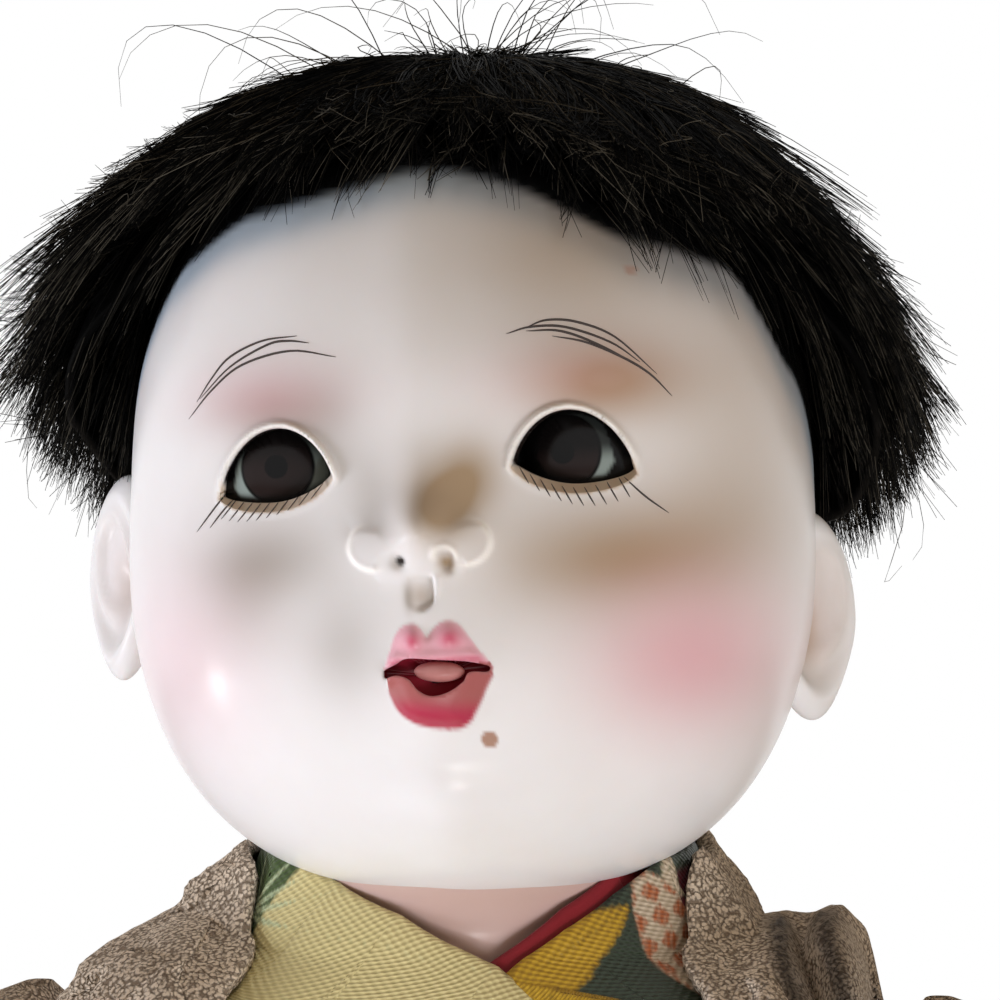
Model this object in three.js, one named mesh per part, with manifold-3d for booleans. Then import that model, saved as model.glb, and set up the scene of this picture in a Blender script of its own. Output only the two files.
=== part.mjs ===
// An ichimatsu doll of a small boy, standing, in kimono and haori coat.
// Millimetres, +Z up, the doll faces -Y, +X is the doll's left hand.
// The origin lies on the floor, under the middle of the doll's bounding box.
import * as THREE from "three";
import { mergeVertices } from "three/addons/utils/BufferGeometryUtils.js";
import Module from "manifold-3d";

const wasm = await Module();
wasm.setup();

// Driving dimensions, in millimetres unless a name says degrees.
const CLEARANCE = 0.4; // between hard pieces that touch on the real doll
const CLOTH_GAP = 0.6; // between layers of cloth

// Heights above the floor follow from the lengths of the body's parts.
const SHIN_LENGTH = 82; // sole to knee
const THIGH_LENGTH = 68; // knee to hip joint
const HIP_LENGTH = 34; // hip joint to the top of the hip block
const WAIST_LENGTH = 38; // the cloth waist between the hip block and the chest
const CHEST_LENGTH = 66;
const NECK_LENGTH = 12; // chest to the underside of the chin
const KNEE_HEIGHT = SHIN_LENGTH;
const HIP_HEIGHT = KNEE_HEIGHT + THIGH_LENGTH;
const HIP_TOP_HEIGHT = HIP_HEIGHT + HIP_LENGTH;
const CHEST_FOOT_HEIGHT = HIP_TOP_HEIGHT + WAIST_LENGTH;
const CHEST_TOP_HEIGHT = CHEST_FOOT_HEIGHT + CHEST_LENGTH;
const SHOULDER_DROP = 12; // the shoulder's line below the chest's top
const SHOULDER_HEIGHT = CHEST_TOP_HEIGHT - SHOULDER_DROP;

const HEAD_FORWARD = 3; // the head's middle stands this far in front of the neck's axis
const HEAD_HALF_WIDTH = 35.3;
const HEAD_FRONT_DEPTH = 36.5;
const HEAD_BACK_DEPTH = 40;
const SKULL_RISE = 39; // head's middle, level with the eyes, to the top of the skull
const CHIN_DROP = 43; // head's middle to the underside of the chin
const HEAD_WALL = 4;
const FACE_LEAN_DEGREES = 3.5; // the face was set on the head with a slight lean
const FACE_PIVOT_RISE = -7.5; // the lean turns about the nose
const HEAD_SEAM_BACK = 9; // the two moulded halves meet this far behind the head's middle

const EYE_SPREAD = 13.9; // middle of the face to the middle of an eye
const EYE_RISE = 0.4;
const EYE_OPENING_WIDTH = 11.8;
const EYE_OPENING_ABOVE = 4.2;
const EYE_OPENING_BELOW = 3.4;
const EYE_RADIUS = 8.5;
const EYE_GLASS_WALL = 1.4;
const EYE_INSET = 2.3; // front of the glass behind the lids
const EYE_CAP_DEPTH = 6.6; // how deep a slice of its ball each glass eye is

const MOUTH_OFFSET = 0.5;
const MOUTH_RISE = -18.5;
const MOUTH_WIDTH = 9.4;
const MOUTH_GAPE = 2.6;
const MOUTH_DEPTH = 5;
const NOSE_RISE = -6.6; // the nose's tip, from the eyes
const NOSE_HALF_WIDTH = 6.3;
const NOSTRIL_SPREAD = 2.25;
const NOSTRIL_RISE = -8.9;
const NOSTRIL_RADIUS = 0.7;
const NOSTRIL_DEPTH = 3;

const EAR_HEIGHT = 21.5;
const EAR_THICKNESS = 5.4;
const EAR_BREADTH = 13;
const EAR_RISE = -13; // middle of the ear below the eyes
const EAR_BACK = 5;
const EAR_OUT = 1.3; // middle of the ear outside the head's widest line
const EAR_FLARE_DEGREES = 24; // the ear's back edge stands off the head
const EAR_TILT_DEGREES = 7;

const NECK_RADIUS = 15;
const PEG_RADIUS = 9;
const PEG_LENGTH = 20; // below the neck
const PEG_GLUED_LENGTH = 12; // inside the neck
const WASHER_RADIUS = 13;
const WASHER_THICKNESS = 2.2;
const WASHER_RECESS = 0.8; // how deep the washer is let into the chest
const NECK_FOOT_HEIGHT = CHEST_TOP_HEIGHT - WASHER_RECESS + WASHER_THICKNESS + 1.5 * CLEARANCE;
const CHIN_HEIGHT = CHEST_TOP_HEIGHT + 2 + NECK_LENGTH;
const HEAD_HEIGHT = CHIN_HEIGHT + CHIN_DROP;

const HAIR_CROWN_THICKNESS = 4.6;
const HAIR_FRINGE_THICKNESS = 4.2;
const HAIR_SIDE_THICKNESS = 14.5;
const HAIR_BACK_THICKNESS = 12;
const HAIR_CROWN_DEGREES = 14; // half angle of the whorl patch on top
const HAIR_END_SLANT_DEGREES = 11; // the cut ends rise outwards by this
const HAIR_LOCK_PITCH_DEGREES = 11; // one lock of hair in every so many degrees round the head
const HAIR_LOCK_DEPTH = 1.1;
const HAIR_SEAM_DEGREES = 0.5; // each weft stops this short of its neighbour's line
const FRINGE_HALF_DEGREES = 58; // the fringe ends here, either side of the front
const NAPE_HALF_DEGREES = 42; // the back weft ends here, either side of the back

// The robe's middle surface, which the body and every garment are measured from.
const HEM_HALF_WIDTH = 46;
const HEM_HALF_DEPTH = 38;
const HIP_HALF_WIDTH = 37;
const HIP_HALF_DEPTH = 29;
const WAIST_HALF_WIDTH = 34.5;
const WAIST_HALF_DEPTH = 26.5;
const CHEST_HALF_WIDTH = 36.5;
const CHEST_HALF_DEPTH = 25;
const SHOULDER_HALF_WIDTH = 37.4;
const SHOULDER_HALF_DEPTH = 22;

const HIP_UNDERCUT = 1; // the hip block ends this far below the hip joint
const BODY_INSET = 2.6; // the bare body inside the robe's middle surface
const BODY_REBATE = 1.8; // step that the waist cloth is glued into
const REBATE_HEIGHT = 6;
const WAIST_CLOTH_THICKNESS = 1;

const STUFFING_SWELL = 0.5; // the padded waist swells this much less than its cloth

const CLOTH = 0.8; // thickness of the kimono's cloth
const CREPE = 1.3; // thickness of the haori's crepe
const KIMONO_HEM_HEIGHT = 20;
const KIMONO_WRAP_DEGREES = 26; // each front panel passes the middle by this
const KIMONO_WRAP_STEP = CLOTH + CLOTH_GAP; // the outer panel over the inner one
const KIMONO_FOLD_DEPTH = 1.6;
const KIMONO_FOLDS = 9;

const COLLAR_WIDTH = 11;
const COLLAR_TOP_HEIGHT = CHIN_HEIGHT + CLEARANCE;
const COLLAR_CROSS_DROP = 11.4; // from the collar's top to its middle line at the crossing
const COLLAR_NECK_OVER = CLOTH + 2.2 * CLOTH_GAP; // the collar outside the robe's middle surface
const COLLAR_CHEST_OVER = KIMONO_WRAP_STEP + CLOTH + CLOTH_GAP;
const UNDER_COLLAR_THICKNESS = 0.64;
const UNDER_COLLAR_IN = CLOTH + 1.2 * CLOTH_GAP; // the red under-collar inside that surface
const KIMONO_TOP_HEIGHT = COLLAR_TOP_HEIGHT - 8.4;

const OBI_WIDTH = 34;
const OBI_DROP = 3; // the sash's top edge below the chest's foot
const OBI_TOP_HEIGHT = CHEST_FOOT_HEIGHT - OBI_DROP;
const OBI_FOOT_HEIGHT = OBI_TOP_HEIGHT - OBI_WIDTH;
const OBI_THICKNESS = 1.4;
const OBI_OVER = KIMONO_WRAP_STEP + CLOTH / 2 + CLOTH_GAP + OBI_THICKNESS / 2;
const OBI_KNOT_WIDTH = 24;
const OBI_KNOT_DEPTH = 5;
const OBI_KNOT_HEIGHT = 22;

const HAORI_LENGTH = 180; // shoulder to hem
const HAORI_HEM_HEIGHT = SHOULDER_HEIGHT - HAORI_LENGTH;
const HAORI_TOP_HEIGHT = COLLAR_TOP_HEIGHT - 5.9;
const HAORI_OVER = COLLAR_CHEST_OVER + KIMONO_WRAP_STEP + CLOTH / 2 + CLOTH_GAP + CREPE / 2;
const HAORI_NECK_OVER = COLLAR_NECK_OVER + CLOTH / 2 + 2 * CLOTH_GAP + CREPE / 2;
const HAORI_OPEN_HALF = 27; // half the gap between its front edges, at the chest
const HAORI_HEM_OPEN_HALF = 24; // the same at the hem
const HAORI_FOLD_DEPTH = 1.8;
const HAORI_FOLDS = 7;
const HAORI_KNOT_BULGE = OBI_KNOT_DEPTH + 4.5; // the back is pushed out over the sash's knot
const LAPEL_THICKNESS = 2.2;
const LAPEL_WIDTH = 13;
const LAPEL_NECK_WIDTH = 9.5;

const SLEEVE_GAP = 0.7; // between the haori's side and its sleeve, so that the arm can swing
const SLEEVE_PLANE = SHOULDER_HALF_WIDTH + HAORI_OVER + CREPE / 2 + SLEEVE_GAP;
const SLEEVE_RISE = 15.5; // its top above the shoulder's line
const SLEEVE_LENGTH = 116; // shoulder's line to the foot of the bag
const SLEEVE_TOP_HEIGHT = SHOULDER_HEIGHT + SLEEVE_RISE;
const SLEEVE_FOOT_HEIGHT = SHOULDER_HEIGHT - SLEEVE_LENGTH;
const SLEEVE_BREADTH = 28; // body side to outer side, low on the sleeve
const SLEEVE_HALF_DEPTH = 27;
const SLEEVE_FORWARD = 4;
const SLEEVE_WALL = 1.1;
const CUFF_HALF_HEIGHT = 17;
const CUFF_HALF_WIDTH = 10.5;
const ARMHOLE_RADIUS = 13;

const ARM_PLANE = SHOULDER_HALF_WIDTH - CLOTH / 2 - 2.5 * CLEARANCE; // the cloth arm starts here
const STUB_RADIUS = 5.5; // the chest's stub that the arm turns on
const STUB_LENGTH = 6;
const ARM_RADIUS = 7;
const ARM_HANG = SLEEVE_PLANE + 0.44 * SLEEVE_BREADTH; // the hanging arm's line
const UPPER_ARM_LENGTH = 38;
const FOREARM_DROP = 29; // elbow to wrist, downwards
const ELBOW_HEIGHT = SHOULDER_HEIGHT - UPPER_ARM_LENGTH;
const WRIST_HEIGHT = ELBOW_HEIGHT - FOREARM_DROP;
const WRIST_FORWARD = 26;
const WRIST_RADIUS = 4.8;
const PALM_LENGTH = 12;
const FINGER_LENGTH = 11;
const FINGER_RADIUS = 1.9;

const HIP_SPREAD = 16;
const THIGH_RADIUS = 14;
const KNEE_RADIUS = 11;
const ANKLE_HEIGHT = 19;
const ANKLE_RADIUS = 7.5;
const FOOT_LENGTH = 46;
const FOOT_WIDTH = 17.5;
const HEEL_BACK = 14.5;
const HEEL_RADIUS = 7.4;
const FOOT_FLATTEN = 0.72; // the foot's height as a share of its width
const SOLE_RISE = 0.85; // the foot's middle line over the sole, as a share of its half height
const INSTEP_HEIGHT = 15;
const TOE_RADIUS = 2.5;

// Facet counts.
const RING_SIDES = 20;
const LIMB_SIDES = 10;
const FINGER_SIDES = 5;
const SLEEVE_SIDES = 11;

// Small helpers.
const { lerp, clamp, degToRad, smoothstep } = THREE.MathUtils;
const vec = (x, y, z) => new THREE.Vector3(x, y, z);
const bell = (value, width) => Math.exp(-((value / width) ** 2));

// A smooth curve through [place, value, value...] stations, read at any place.
function stationCurve(stations) {
  return (place) => {
    const last = stations.length - 1;
    const held = clamp(place, stations[0][0], stations[last][0]);
    let i = 0;
    while (i < last - 1 && held > stations[i + 1][0]) i += 1;
    const [a, b] = [stations[i], stations[i + 1]];
    const share = smoothstep(held, a[0], b[0]);
    const blend = lerp((held - a[0]) / (b[0] - a[0]), share, 0.6);
    return a.slice(1).map((value, k) => lerp(value, b[k + 1], blend));
  };
}

// A closed triangle mesh, turned to face outwards.
function closedMesh(points, triangles) {
  let volume = 0;
  const normal = vec(0, 0, 0);
  for (const [a, b, c] of triangles) {
    volume += points[a].dot(normal.crossVectors(points[b], points[c]));
  }
  const order = volume < 0 ? [0, 2, 1] : [0, 1, 2];
  const geometry = new THREE.BufferGeometry();
  const places = points.flatMap((p) => p.toArray());
  geometry.setAttribute("position", new THREE.Float32BufferAttribute(places, 3));
  geometry.setIndex(triangles.flatMap((t) => order.map((k) => t[k])));
  return geometry;
}

function quads(triangles, a, b, c, d) {
  triangles.push([a, b, c], [a, c, d]);
}

// A closed skin over rings of points: the first and last rings shrink to one point each.
function skinOver(rings, foot, top) {
  const sides = rings[0].length;
  const points = [foot, ...rings.flat(), top];
  const triangles = [];
  const at = (row, side) => 1 + row * sides + (side % sides);
  for (let side = 0; side < sides; side += 1) {
    triangles.push([0, at(0, side + 1), at(0, side)]);
    triangles.push([points.length - 1, at(rings.length - 1, side), at(rings.length - 1, side + 1)]);
    for (let row = 0; row < rings.length - 1; row += 1) {
      quads(triangles, at(row, side), at(row, side + 1), at(row + 1, side + 1), at(row + 1, side));
    }
  }
  return closedMesh(points, triangles);
}

function middleOf(ring) {
  return ring.reduce((sum, p) => sum.add(p), vec(0, 0, 0)).divideScalar(ring.length);
}

// A loft with flat ends.
function loft(rings) {
  return skinOver(rings, middleOf(rings[0]), middleOf(rings[rings.length - 1]));
}

// The solid between two surfaces given over the same unit square.
// Wrap joins the square's left and right sides.
function slab(columns, rows, inner, outer, wrap = false) {
  const across = wrap ? columns : columns + 1;
  const layer = (surface) => {
    const points = [];
    for (let row = 0; row <= rows; row += 1) {
      for (let column = 0; column < across; column += 1) points.push(surface(column / columns, row / rows));
    }
    return points;
  };
  const size = across * (rows + 1);
  const points = [...layer(inner), ...layer(outer)];
  const triangles = [];
  const at = (column, row) => row * across + (column % across);
  for (let column = 0; column < columns; column += 1) {
    for (let row = 0; row < rows; row += 1) {
      const corner = [at(column, row), at(column + 1, row), at(column + 1, row + 1), at(column, row + 1)];
      quads(triangles, ...corner.map((k) => k + size));
      quads(triangles, ...corner.reverse());
    }
    quads(triangles, at(column, 0), at(column + 1, 0), at(column + 1, 0) + size, at(column, 0) + size);
    const [end, endNext] = [at(column, rows), at(column + 1, rows)];
    quads(triangles, endNext, end, end + size, endNext + size);
  }
  for (let row = 0; !wrap && row < rows; row += 1) {
    quads(triangles, at(0, row + 1), at(0, row), at(0, row) + size, at(0, row + 1) + size);
    const [edge, edgeNext] = [at(columns, row), at(columns, row + 1)];
    quads(triangles, edge, edgeNext, edgeNext + size, edge + size);
  }
  return closedMesh(points, triangles);
}

// A limb: round sections along a curve, with round ends.
function limb(path, radii, sides = LIMB_SIDES, steps = 8, flatten = 1) {
  const curve = new THREE.CatmullRomCurve3(path);
  const radiusAt = (t) => {
    const place = t * (radii.length - 1);
    const i = Math.min(Math.floor(place), radii.length - 2);
    return lerp(radii[i], radii[i + 1], smoothstep(place - i, 0, 1));
  };
  const side = vec(1, 0, 0);
  const ringAt = (centre, tangent, radius) => {
    const across = side.clone().addScaledVector(tangent, -side.dot(tangent)).normalize();
    const over = vec(0, 0, 0).crossVectors(tangent, across);
    return Array.from({ length: sides }, (_, k) => {
      const angle = (2 * Math.PI * k) / sides;
      return centre
        .clone()
        .addScaledVector(across, radius * Math.cos(angle))
        .addScaledVector(over, radius * flatten * Math.sin(angle));
    });
  };
  const [start, startWay] = [curve.getPoint(0), curve.getTangent(0)];
  const [finish, finishWay] = [curve.getPoint(1), curve.getTangent(1)];
  const roundEnd = sides > FINGER_SIDES ? [0.9, 0.5] : [0.7];
  const endRing = (centre, way, radius, sine) =>
    ringAt(centre.clone().addScaledVector(way, radius * sine), way, radius * Math.sqrt(1 - sine * sine));
  const rings = roundEnd.map((sine) => endRing(start, startWay, radiusAt(0), -sine));
  for (let k = 0; k <= steps; k += 1) {
    rings.push(ringAt(curve.getPoint(k / steps), curve.getTangent(k / steps), radiusAt(k / steps)));
  }
  rings.push(...[...roundEnd].reverse().map((sine) => endRing(finish, finishWay, radiusAt(1), sine)));
  const foot = start.clone().addScaledVector(startWay, -radiusAt(0));
  return skinOver(rings, foot, finish.clone().addScaledVector(finishWay, radiusAt(1)));
}

// Joins and cuts.
function solid(geometry) {
  const bare = geometry.clone();
  bare.deleteAttribute("normal");
  bare.deleteAttribute("uv");
  const merged = mergeVertices(bare, 1e-4);
  const triVerts = new Uint32Array(merged.index.array);
  return new wasm.Manifold(
    new wasm.Mesh({ numProp: 3, vertProperties: merged.attributes.position.array, triVerts }),
  );
}

function geometryOf(made) {
  const mesh = made.getMesh();
  const geometry = new THREE.BufferGeometry();
  geometry.setAttribute("position", new THREE.Float32BufferAttribute(mesh.vertProperties, mesh.numProp));
  geometry.setIndex(new THREE.BufferAttribute(mesh.triVerts, 1));
  return geometry;
}

function cut(body, ...tools) {
  return geometryOf(tools.reduce((made, tool) => made.subtract(solid(tool)), solid(body)));
}

function join(first, ...others) {
  return geometryOf(others.reduce((made, other) => made.add(solid(other)), solid(first)));
}

const common = (a, b) => geometryOf(solid(a).intersect(solid(b)));

function cylinderAlong(axis, radius, from, to, sides = LIMB_SIDES) {
  const geometry = new THREE.CylinderGeometry(radius, radius, to - from, sides);
  geometry.translate(0, (from + to) / 2, 0);
  if (axis === "x") geometry.rotateZ(-Math.PI / 2);
  if (axis === "z") geometry.rotateX(Math.PI / 2);
  return geometry;
}

const boxBetween = (low, high) => {
  const size = high.map((value, k) => value - low[k]);
  const geometry = new THREE.BoxGeometry(...size);
  return geometry.translate(...low.map((value, k) => value + size[k] / 2));
};

// The head's plain form: a rounded egg, wide in the cheeks. Longitude 0 looks forward, along -Y.
function headForm(longitude, latitude, swell = 0) {
  const way = vec(
    Math.cos(latitude) * Math.sin(longitude),
    -Math.cos(latitude) * Math.cos(longitude),
    Math.sin(latitude),
  );
  const depth = (way.y < 0 ? HEAD_FRONT_DEPTH : HEAD_BACK_DEPTH) + swell;
  const [rise, power] = way.z > 0 ? [SKULL_RISE, 2.15] : [CHIN_DROP, 2.7];
  const level = 2.25;
  const flat = (Math.abs(way.x) / (HEAD_HALF_WIDTH + swell)) ** level + (Math.abs(way.y) / depth) ** level;
  const reach = (flat ** (power / level) + (Math.abs(way.z) / (rise + swell)) ** power) ** (-1 / power);
  return way.multiplyScalar(reach);
}

// The broad touches on the face: [x, z, half width, half height, push forward].
const FACE_TOUCHES = [
  ...[-1, 1].flatMap((side) => [
    [side * 15, 8.5, 9, 4, 0.6],
    [side * EYE_SPREAD, EYE_RISE, 8, 5.5, -1.3],
    [side * 22, -19, 11, 11, 1.4],
  ]),
  [0, 2.5, 5, 5, -0.5],
  [0, NOSE_RISE + 2, 3.6, 4.4, 2.2],
  [MOUTH_OFFSET, MOUTH_RISE, 9, 7.5, 1.5],
  [MOUTH_OFFSET, MOUTH_RISE - 9, 6, 1.8, -1],
  [1, -32, 8, 4.2, 1.3],
];

// The small full forms laid on them:
// [x, z, half width, half depth, half height, middle before the plain face].
const FACE_FORMS = [
  [0, NOSE_RISE, 2.9, 3.2, 2.6, 2.2],
  [-NOSE_HALF_WIDTH + 2.1, NOSE_RISE - 1, 2.1, 2.6, 2, 1.2],
  [NOSE_HALF_WIDTH - 2.1, NOSE_RISE - 1, 2.1, 2.6, 2, 1.2],
  [MOUTH_OFFSET - 1.9, MOUTH_RISE + 1.7, 2.9, 1.8, 1.7, 1.6],
  [MOUTH_OFFSET + 1.9, MOUTH_RISE + 1.7, 2.9, 1.8, 1.7, 1.6],
  [MOUTH_OFFSET, MOUTH_RISE - 3.1, 4, 2.3, 2.4, 1.4],
];

function faceForm([x, z, halfWidth, halfDepth, halfHeight, before]) {
  const form = new THREE.SphereGeometry(1, 9, 6).scale(halfWidth, halfDepth, halfHeight);
  return placeOnFace(form, x, z, -faceDepthAt(x, z) - before);
}

// Face places are given upright; the set face leans about the nose.
function leanFace(x, z) {
  const lean = degToRad(FACE_LEAN_DEGREES);
  const rise = z - FACE_PIVOT_RISE;
  const [sine, cosine] = [Math.sin(lean), Math.cos(lean)];
  return [x * cosine - rise * sine, x * sine + rise * cosine + FACE_PIVOT_RISE];
}

function headSurface(longitude, latitude) {
  const point = headForm(longitude, latitude);
  const front = smoothstep(-point.y, 4, 16);
  for (const [x, z, halfWidth, halfHeight, push] of FACE_TOUCHES) {
    const [leanX, leanZ] = leanFace(x, z);
    point.y -= front * push * bell(point.x - leanX, halfWidth) * bell(point.z - leanZ, halfHeight);
  }
  return point;
}

// Rows of latitude and columns of longitude that crowd together on the face.
const crowded = (t, share) => share * t + (1 - share) * t ** 3;

function headSkin(surface, columns, rows, columnCrowd, rowCrowd) {
  const faceDegrees = -12;
  const latitudeAt = (row) => {
    const t = (2 * (row + 1)) / (rows + 1) - 1;
    return degToRad(faceDegrees + (t < 0 ? 90 + faceDegrees : 90 - faceDegrees) * crowded(t, rowCrowd));
  };
  const rings = Array.from({ length: rows }, (_, row) =>
    Array.from({ length: columns }, (__, column) =>
      surface(Math.PI * crowded((2 * column) / columns - 1, columnCrowd), latitudeAt(row)),
    ),
  );
  return skinOver(rings, surface(0, -Math.PI / 2), surface(0, Math.PI / 2));
}

// An almond outline for an eye opening or the mouth, drawn as a prism through the face.
function almondPrism(width, above, below, depth) {
  const half = width / 2;
  const outline = new THREE.Shape();
  outline.moveTo(-half, 0);
  outline.bezierCurveTo(-half * 0.62, above * 1.25, half * 0.5, above * 1.35, half, 0);
  outline.bezierCurveTo(half * 0.5, -below * 1.3, -half * 0.55, -below * 1.35, -half, 0);
  const prism = new THREE.ExtrudeGeometry(outline, { depth, bevelEnabled: false, curveSegments: 7 });
  return prism.rotateX(Math.PI / 2);
}

function placeOnFace(geometry, x, z, y) {
  const [leanX, leanZ] = leanFace(x, z);
  return geometry.rotateY(-degToRad(FACE_LEAN_DEGREES)).translate(leanX, y, leanZ);
}

function faceDepthAt(x, z) {
  const [leanX, leanZ] = leanFace(x, z);
  const level = (Math.abs(leanX) / HEAD_HALF_WIDTH) ** 2.25;
  const [rise, power] = leanZ > 0 ? [SKULL_RISE, 2.15] : [CHIN_DROP, 2.7];
  const room = (1 - (Math.abs(leanZ) / rise) ** power) ** (2.25 / power) - level;
  return HEAD_FRONT_DEPTH * room ** (1 / 2.25);
}

// Each ear: a flattened egg with a rim, its bowl scooped out.
function ear(side) {
  const shell = new THREE.SphereGeometry(1, 9, 7);
  shell.scale(EAR_THICKNESS / 2, EAR_BREADTH / 2, EAR_HEIGHT / 2);
  const bowl = new THREE.SphereGeometry(1, 7, 5);
  bowl.scale(EAR_THICKNESS * 0.42, EAR_BREADTH * 0.3, EAR_HEIGHT * 0.3);
  bowl.translate(side * EAR_THICKNESS * 0.42, -EAR_BREADTH * 0.08, EAR_HEIGHT * 0.06);
  const made = cut(shell, bowl);
  made.rotateZ(side * degToRad(EAR_FLARE_DEGREES)).rotateY(side * degToRad(EAR_TILT_DEGREES));
  return made.translate(side * (HEAD_HALF_WIDTH + EAR_OUT), EAR_BACK, EAR_RISE);
}

// The eye's ball sits behind its opening.
function eyeMiddle(side) {
  const [x, z] = leanFace(side * EYE_SPREAD, EYE_RISE);
  return vec(x, -faceDepthAt(side * EYE_SPREAD, EYE_RISE) + EYE_INSET + EYE_RADIUS, z);
}

function eyeBall(side, radius) {
  return new THREE.SphereGeometry(radius, 12, 8).translate(...eyeMiddle(side).toArray());
}

// A slice off the front of the eye's ball.
function eyeSlice(side, radius, depth) {
  const middle = eyeMiddle(side);
  const back = middle.y - EYE_RADIUS + depth;
  const reach = 2 * EYE_RADIUS;
  const low = [middle.x - reach, back - 3 * reach, middle.z - reach];
  const keep = boxBetween(low, [middle.x + reach, back, middle.z + reach]);
  return common(eyeBall(side, radius), keep);
}

const EYE_HOLLOW_RADIUS = EYE_RADIUS - EYE_GLASS_WALL;

function glassEye(side) {
  return cut(eyeSlice(side, EYE_RADIUS, EYE_CAP_DEPTH), eyeBall(side, EYE_HOLLOW_RADIUS));
}

function eyeCore(side) {
  return eyeSlice(side, EYE_HOLLOW_RADIUS - CLEARANCE, EYE_CAP_DEPTH);
}

// The hollow head, with its openings, before it is parted into two halves.
function wholeHead() {
  const outside = headSkin(headSurface, 32, 19, 0.32, 0.36);
  const hollow = (longitude, latitude) => headForm(longitude, latitude, -HEAD_WALL);
  const inside = headSkin(hollow, 12, 8, 0.9, 0.9);
  const neckTop = -CHIN_DROP + 9;
  const neckFoot = NECK_FOOT_HEIGHT - HEAD_HEIGHT;
  const neck = cylinderAlong("z", NECK_RADIUS, neckFoot, neckTop, RING_SIDES).translate(0, HEAD_FORWARD, 0);
  const bore = cylinderAlong("z", PEG_RADIUS + CLEARANCE, neckFoot - 1, neckTop, RING_SIDES);
  bore.translate(0, HEAD_FORWARD, 0);
  const openings = [-1, 1].flatMap((side) => [
    placeOnFace(
      almondPrism(EYE_OPENING_WIDTH, EYE_OPENING_ABOVE, EYE_OPENING_BELOW, 30).scale(side, 1, 1),
      side * EYE_SPREAD,
      EYE_RISE,
      -20,
    ),
    eyeBall(side, EYE_RADIUS + CLEARANCE),
    placeOnFace(
      cylinderAlong("y", NOSTRIL_RADIUS, 0, NOSTRIL_DEPTH + 8, 8),
      side * NOSTRIL_SPREAD,
      NOSTRIL_RISE,
      -HEAD_FRONT_DEPTH - 8,
    ),
  ]);
  const mouth = placeOnFace(
    almondPrism(MOUTH_WIDTH, MOUTH_GAPE * 0.4, MOUTH_GAPE * 0.6, 12),
    MOUTH_OFFSET,
    MOUTH_RISE,
    -HEAD_FRONT_DEPTH + MOUTH_DEPTH,
  );
  const whole = join(outside, neck, ear(-1), ear(1), ...FACE_FORMS.map(faceForm));
  return cut(whole, inside, bore, mouth, ...turnedOut(openings));
}

// A mirrored copy faces inwards until its triangles are turned round.
function turnedOut(geometries) {
  return geometries.map((geometry) => {
    const bare = geometry.index ? geometry.toNonIndexed() : geometry;
    const place = bare.attributes.position;
    const count = place.count;
    const points = Array.from({ length: count }, (_, k) => vec(0, 0, 0).fromBufferAttribute(place, k));
    const triangles = Array.from({ length: count / 3 }, (_, k) => [3 * k, 3 * k + 1, 3 * k + 2]);
    return closedMesh(points, triangles);
  });
}

function headHalves() {
  const whole = wholeHead();
  const reach = 2 * HEAD_BACK_DEPTH + CHIN_DROP;
  const front = boxBetween([-reach, -reach, -reach], [reach, HEAD_SEAM_BACK - CLEARANCE / 2, reach]);
  const back = boxBetween([-reach, HEAD_SEAM_BACK + CLEARANCE / 2, -reach], [reach, reach, reach]);
  return { face: common(whole, front), skull: common(whole, back) };
}

// The tongue lies behind the parted lips, on the head's inner wall.
function tongue() {
  const made = new THREE.SphereGeometry(1, 10, 6);
  made.scale(MOUTH_WIDTH * 0.3, MOUTH_DEPTH * 0.42, MOUTH_GAPE * 0.36);
  return placeOnFace(made, MOUTH_OFFSET, MOUTH_RISE - 0.1, -HEAD_FRONT_DEPTH + MOUTH_DEPTH * 0.5);
}

// Where the hair ends and how thick it is there:
// [degrees round from the front, latitude in degrees, thickness].
const hairEnds = stationCurve([
  [0, 46, HAIR_FRINGE_THICKNESS],
  [38, 38, HAIR_FRINGE_THICKNESS + 0.6],
  [55, 31, HAIR_FRINGE_THICKNESS + 3],
  [72, 10, HAIR_SIDE_THICKNESS * 0.85],
  [90, -1, HAIR_SIDE_THICKNESS],
  [125, -16, HAIR_SIDE_THICKNESS],
  [180, -27, HAIR_BACK_THICKNESS],
]);

// A weft of hair between two bearings round the head, with locks that grow towards the cut ends.
function hairWeft(fromDegrees, toDegrees, columns) {
  const surface = (outer) => (u, v) => {
    const bearing = lerp(fromDegrees + HAIR_SEAM_DEGREES, toDegrees - HAIR_SEAM_DEGREES, u);
    const [endLatitude, thickness] = hairEnds(180 - Math.abs(180 - Math.abs(bearing)));
    const slant = outer ? HAIR_END_SLANT_DEGREES * v ** 3 : 0;
    const latitude = lerp(90 - HAIR_CROWN_DEGREES, endLatitude + slant, v);
    const lock = HAIR_LOCK_DEPTH * v * Math.sin((2 * Math.PI * bearing) / HAIR_LOCK_PITCH_DEGREES);
    const stand = outer ? lerp(HAIR_CROWN_THICKNESS, thickness, v ** 1.3) + lock : 2 * CLEARANCE;
    const bare = headForm(degToRad(bearing), degToRad(latitude));
    return bare.setLength(bare.length() + stand);
  };
  return slab(columns, 5, surface(false), surface(true));
}

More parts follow.
